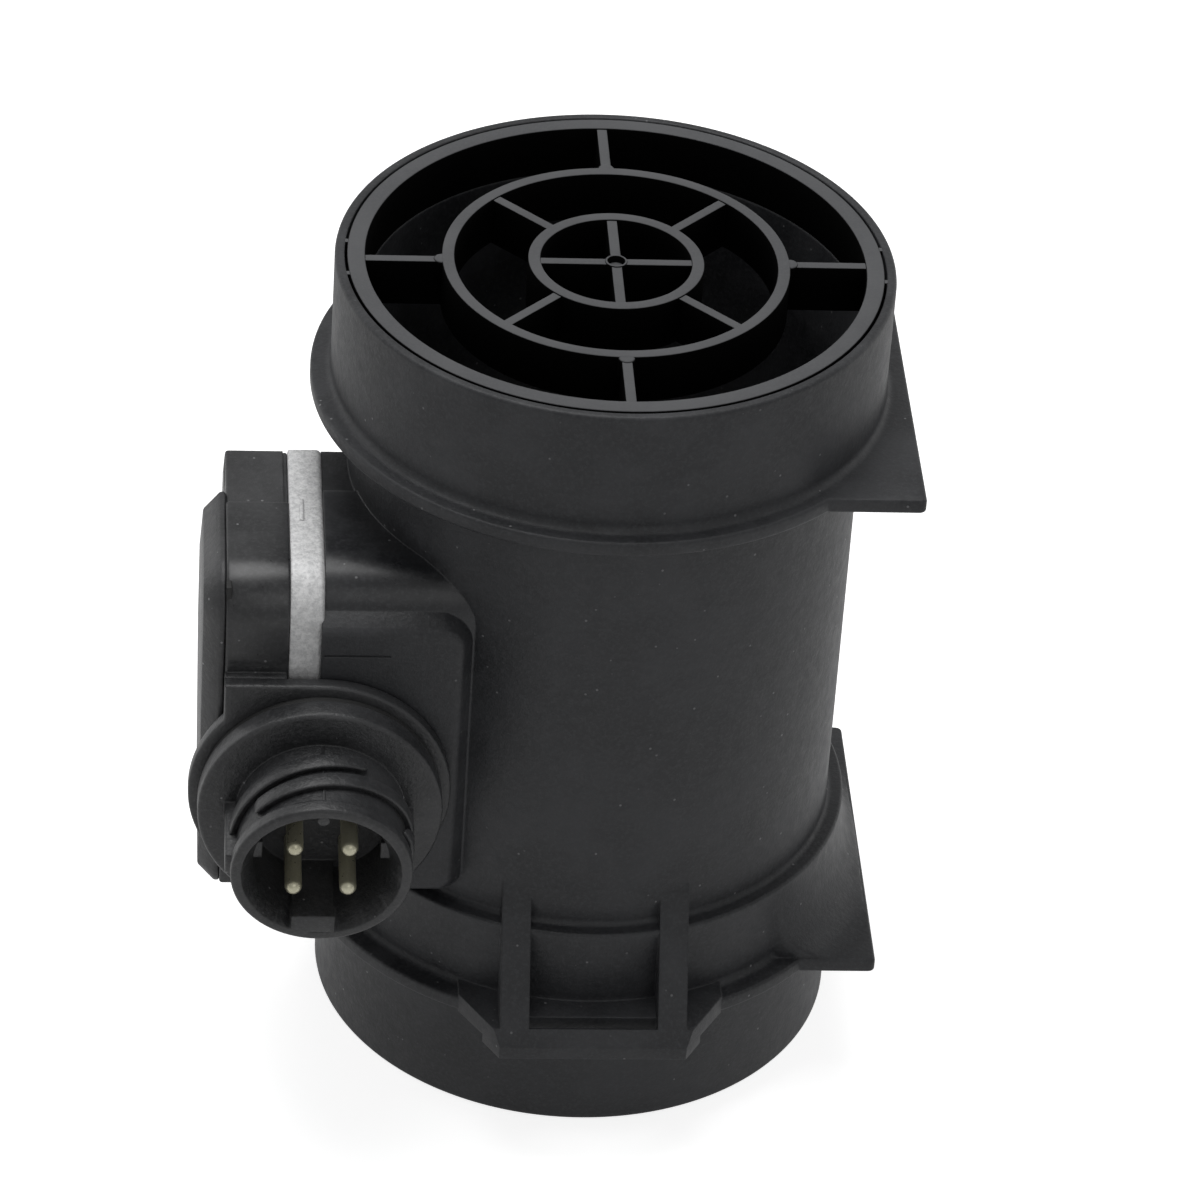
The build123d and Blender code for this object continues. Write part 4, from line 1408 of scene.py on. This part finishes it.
@dataclass(frozen=True)
class Module:
    """The electronics module: plate, housing, lid and screws."""

    plate_x: Point = (43.4, 48.6)
    plate_rounds: Point = (0.8, 0.35)
    plate_mark: Box = ((-47.1, -17.9, 98.0), (-46.4, -12.4, 98.75))
    lid_x: Point = (58.2, 61.6)
    lid_bevel: float = 2.6
    housing_rounds: Point = (0.3, 0.5)
    boss: Box = ((-58.2, -36.3, 43.0), (-48.8, -34.0, 82.5))
    slot: Box = ((-49.3, -12.5, 96.3), (-47.6, 20.0, 99.0))
    wall: float = 3.6
    seat_x: float = 54.8
    seat_r: float = 3.1
    screw_spots: tuple[Point, Point] = ((0.5, 93.8), (6.0, 45.4))
    screw_r: float = 1.9
    screw_l: float = 15.0
    head_r: float = 2.8
    head_h: float = 2.6
    hex_r: float = 1.4
    hex_depth: float = 1.5
    shape: Slab = Slab()
    socket: Socket = Socket()

    def plate(self) -> None:
        """The cast heat sink plate with its low raised mark."""
        steps = rounded_ends(*self.plate_x, *self.plate_rounds)
        plate = stack("cast_plate", self.shape.corners(), steps)
        with_block(plate, *self.plate_mark, Join.ADD, 0.1, 2)
        finish_piece(plate, Slot.ALLOY, "heat_sink_plate")

    def housing(self, socket: Obj) -> None:
        """The housing with its lug, slot and screw seats, the boss and the socket.

        Args:
            socket: Collars and shell as one solid.
        """
        low_x, high_x = self.plate_x[1], self.lid_x[0]
        steps = rounded_ends(low_x, high_x, *self.housing_rounds)
        body = stack("housing_moulding", self.shape.corners(lug=True), steps, 12)
        with_block(body, *self.boss, Join.ADD, 0.3, 2)
        combine(body, socket, Join.ADD)
        hollow = inset_corners(self.shape.lid_corners(), self.wall)
        combine(body, stack("cavity", hollow, [(0, low_x - 1), (0, high_x + 1)]), Join.CUT)
        with_block(body, *self.slot)
        for y, z in self.screw_spots:
            seat = [(0.3, self.seat_x), (self.seat_r, self.seat_x), (self.seat_r, high_x + 1),
                    (0.3, high_x + 1)]
            combine(body, turned("seat", seat, about("X", y, z), 48, closed=False), Join.CUT)
        finish_piece(body, Slot.MODULE, "module_housing")

    def lid(self) -> None:
        """The lid with its bevelled rim."""
        low_x, high_x = self.lid_x
        bevel = self.lid_bevel
        steps = [
            (0.25, low_x), (0.0, low_x + 0.2), (0.0, high_x - bevel - 0.15),
            (0.12, high_x - bevel + 0.13), (bevel - 0.15, high_x - 0.12), (bevel + 0.2, high_x),
        ]
        lid = stack("lid_moulding", self.shape.lid_corners(), steps)
        finish_piece(lid, Slot.MODULE, "module_lid")

    def screws(self, copies: TreeMaker) -> None:
        """The two socket-head screws.

        Args:
            copies: Tree that repeats the screw.
        """
        (y, z), (low_y, low_z) = self.screw_spots
        seat, top = self.seat_x, self.seat_x + self.head_h
        tip = seat - self.screw_l
        section = rounded([
            (0.2, tip, 0.0), (self.screw_r, tip, 0.4), (self.screw_r, seat, 0.1),
            (self.head_r, seat, 0.2), (self.head_r, top, 0.45), (0.2, top, 0.0),
        ], 4)
        screw = turned("lug_screws", section, about("X", y, z), 48, closed=False)
        hexagon = [
            (y + self.hex_r * math.cos(math.radians(a)), z + self.hex_r * math.sin(math.radians(a)))
            for a in range(0, 360, 60)
        ]
        recess = prism("hex", hexagon, -seat - 4.0, -top + self.hex_depth, across_x)
        combine(screw, recess, Join.CUT)
        step = Vector((0.0, low_y - y, low_z - z)) * MM
        screw = copies.run(screw, Slot.SCREW, Count=2, Step=step)
        finish_piece(screw, Slot.SCREW, "module_screw_1", "module_screw_2")

    def build(self, turned_copies: TreeMaker, stepped: TreeMaker) -> None:
        """Make the module's pieces.

        Args:
            turned_copies: Tree that repeats round an axis.
            stepped: Tree that repeats by steps.
        """
        socket = self.socket.build(turned_copies, helical_rib_tree(), pin_grid_tree())
        self.plate()
        self.housing(socket)
        self.lid()
        self.screws(stepped)


def dress_hidden_nodes() -> None:
    """Give the CAD nodes that stay their finishes."""
    slots = {item["node"]: Slot(item["material_slot"]) for item in frame["record"]["subparts"]}
    for name, node in frame["nodes"].items():
        node.data.materials.clear()
        node.data.materials.append(material_of(slots[name]))


# Studio


@dataclass(frozen=True)
class Studio:
    """Camera, floor, world and lamps."""

    lens: float = 184.70
    turn: Triple = (2.19597202, -0.0309744025, 0.0946349319)
    shift: Triple = (-5.19304494, 57.8501049, 1008.04064)
    floor_size: float = 6.0
    floor_drop: float = 0.1
    floor_shade: Triple = (0.45, 0.45, 0.45)
    floor_white: Triple = (0.86, 0.86, 0.86)
    floor_glow: float = 0.8
    soft_light: float = 0.18
    glossy_share: float = 0.55
    lamp_target: Triple = (0.0, 0.0, 0.06)
    lamps: tuple[tuple[str, Triple, float, float], ...] = (
        ("top_light", (-0.15, 0.2, 1.45), 0.9, 10.5),
        ("front_light", (0.25, -1.3, 0.9), 0.8, 1.6),
        ("right_light", (1.2, 0.8, 0.5), 1.0, 2.5),
        ("left_light", (-1.2, 0.8, 0.5), 1.0, 3.0),
    )

    def camera(self) -> None:
        """The camera of the photograph."""
        spin = Vector(self.turn)
        look = Matrix.Rotation(spin.length, 3, spin.normalized()).transposed()
        place = look @ -Vector(self.shift) * MM
        flip = Matrix.Diagonal((1.0, -1.0, -1.0))
        data = bpy.data.cameras.new("camera")
        data.lens = self.lens
        data.sensor_width = 36.0
        data.clip_end = 20.0
        made = linked("camera", data)
        made.matrix_world = Matrix.Translation(place) @ (look @ flip).to_4x4()
        bpy.context.scene.camera = made

    def seen_directly(self, maker: NodeMaker) -> Sock:
        """1 for camera and transmission rays, less for glossy ones, 0 for the rest."""
        camera, glossy, through = (
            maker.node("ShaderNodeLightPath", out=f"Is {kind} Ray")
            for kind in ("Camera", "Glossy", "Transmission")
        )
        return maker.math("MINIMUM", camera + through + glossy * self.glossy_share, 1.0)

    def floor(self) -> None:
        """The pale floor, which keeps the sensor's shadow."""
        half, low = self.floor_size / 2 / MM, -self.floor_drop
        corners = [(-half, -half, low), (half, -half, low), (half, half, low), (-half, half, low)]
        ground = new_object("floor", corners, [(0, 1, 2, 3)])
        material, maker = new_material("pale_floor")
        seen = self.seen_directly(maker)
        colour = maker.mix_colour(seen, self.floor_shade, self.floor_white)
        shader = maker.node(
            "ShaderNodeBsdfPrincipled", Base_Color=colour, Roughness=0.9, Specular_IOR_Level=0.0
        )
        glow = maker.node("ShaderNodeEmission", Strength=seen * self.floor_glow)
        both = maker.tree.nodes.new("ShaderNodeAddShader")
        maker.feed(both, 0, shader)
        maker.feed(both, 1, glow)
        maker.end("ShaderNodeOutputMaterial", Sock(maker, both.outputs[0]))
        ground.data.materials.append(material)

    def world(self) -> None:
        """A white surround for what is seen, and soft light for the rest."""
        world = bpy.data.worlds.new("studio")
        bpy.context.scene.world = world
        world.use_nodes = True
        maker = NodeMaker(world.node_tree)
        strength = self.soft_light + self.seen_directly(maker) * (1.0 - self.soft_light)
        back = maker.node("ShaderNodeBackground", Strength=strength)
        maker.end("ShaderNodeOutputWorld", back)

    def lamp(self, name: str, place: Sequence[float], size: float, power: float) -> None:
        """An area lamp that faces the sensor.

        Args:
            name: Lamp name.
            place: Its place in metres.
            size: Its side in metres.
            power: Its power in watts.
        """
        data = bpy.data.lights.new(name, "AREA")
        data.size = size
        data.energy = power
        made = linked(name, data)
        made.location = place
        aim = Vector(self.lamp_target) - Vector(place)
        made.rotation_euler = aim.to_track_quat("-Z", "Y").to_euler()

    def build(self) -> None:
        """Set up the whole studio."""
        self.camera()
        self.floor()
        self.world()
        for lamp in self.lamps:
            self.lamp(*lamp)
        bpy.context.scene.view_settings.view_transform = "Standard"


def main() -> None:
    """Build every piece of the sensor and its studio."""
    logging.basicConfig(level=logging.INFO, format="%(message)s")
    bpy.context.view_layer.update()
    dress_hidden_nodes()
    turned_copies, stepped = turned_copies_tree(), stepped_copies_tree()
    Duct().build()
    Grid().build(turned_copies)
    OutletMesh().build(woven_tree())
    Module().build(turned_copies, stepped)
    Studio().build()


if __name__ == "__main__":
    main()
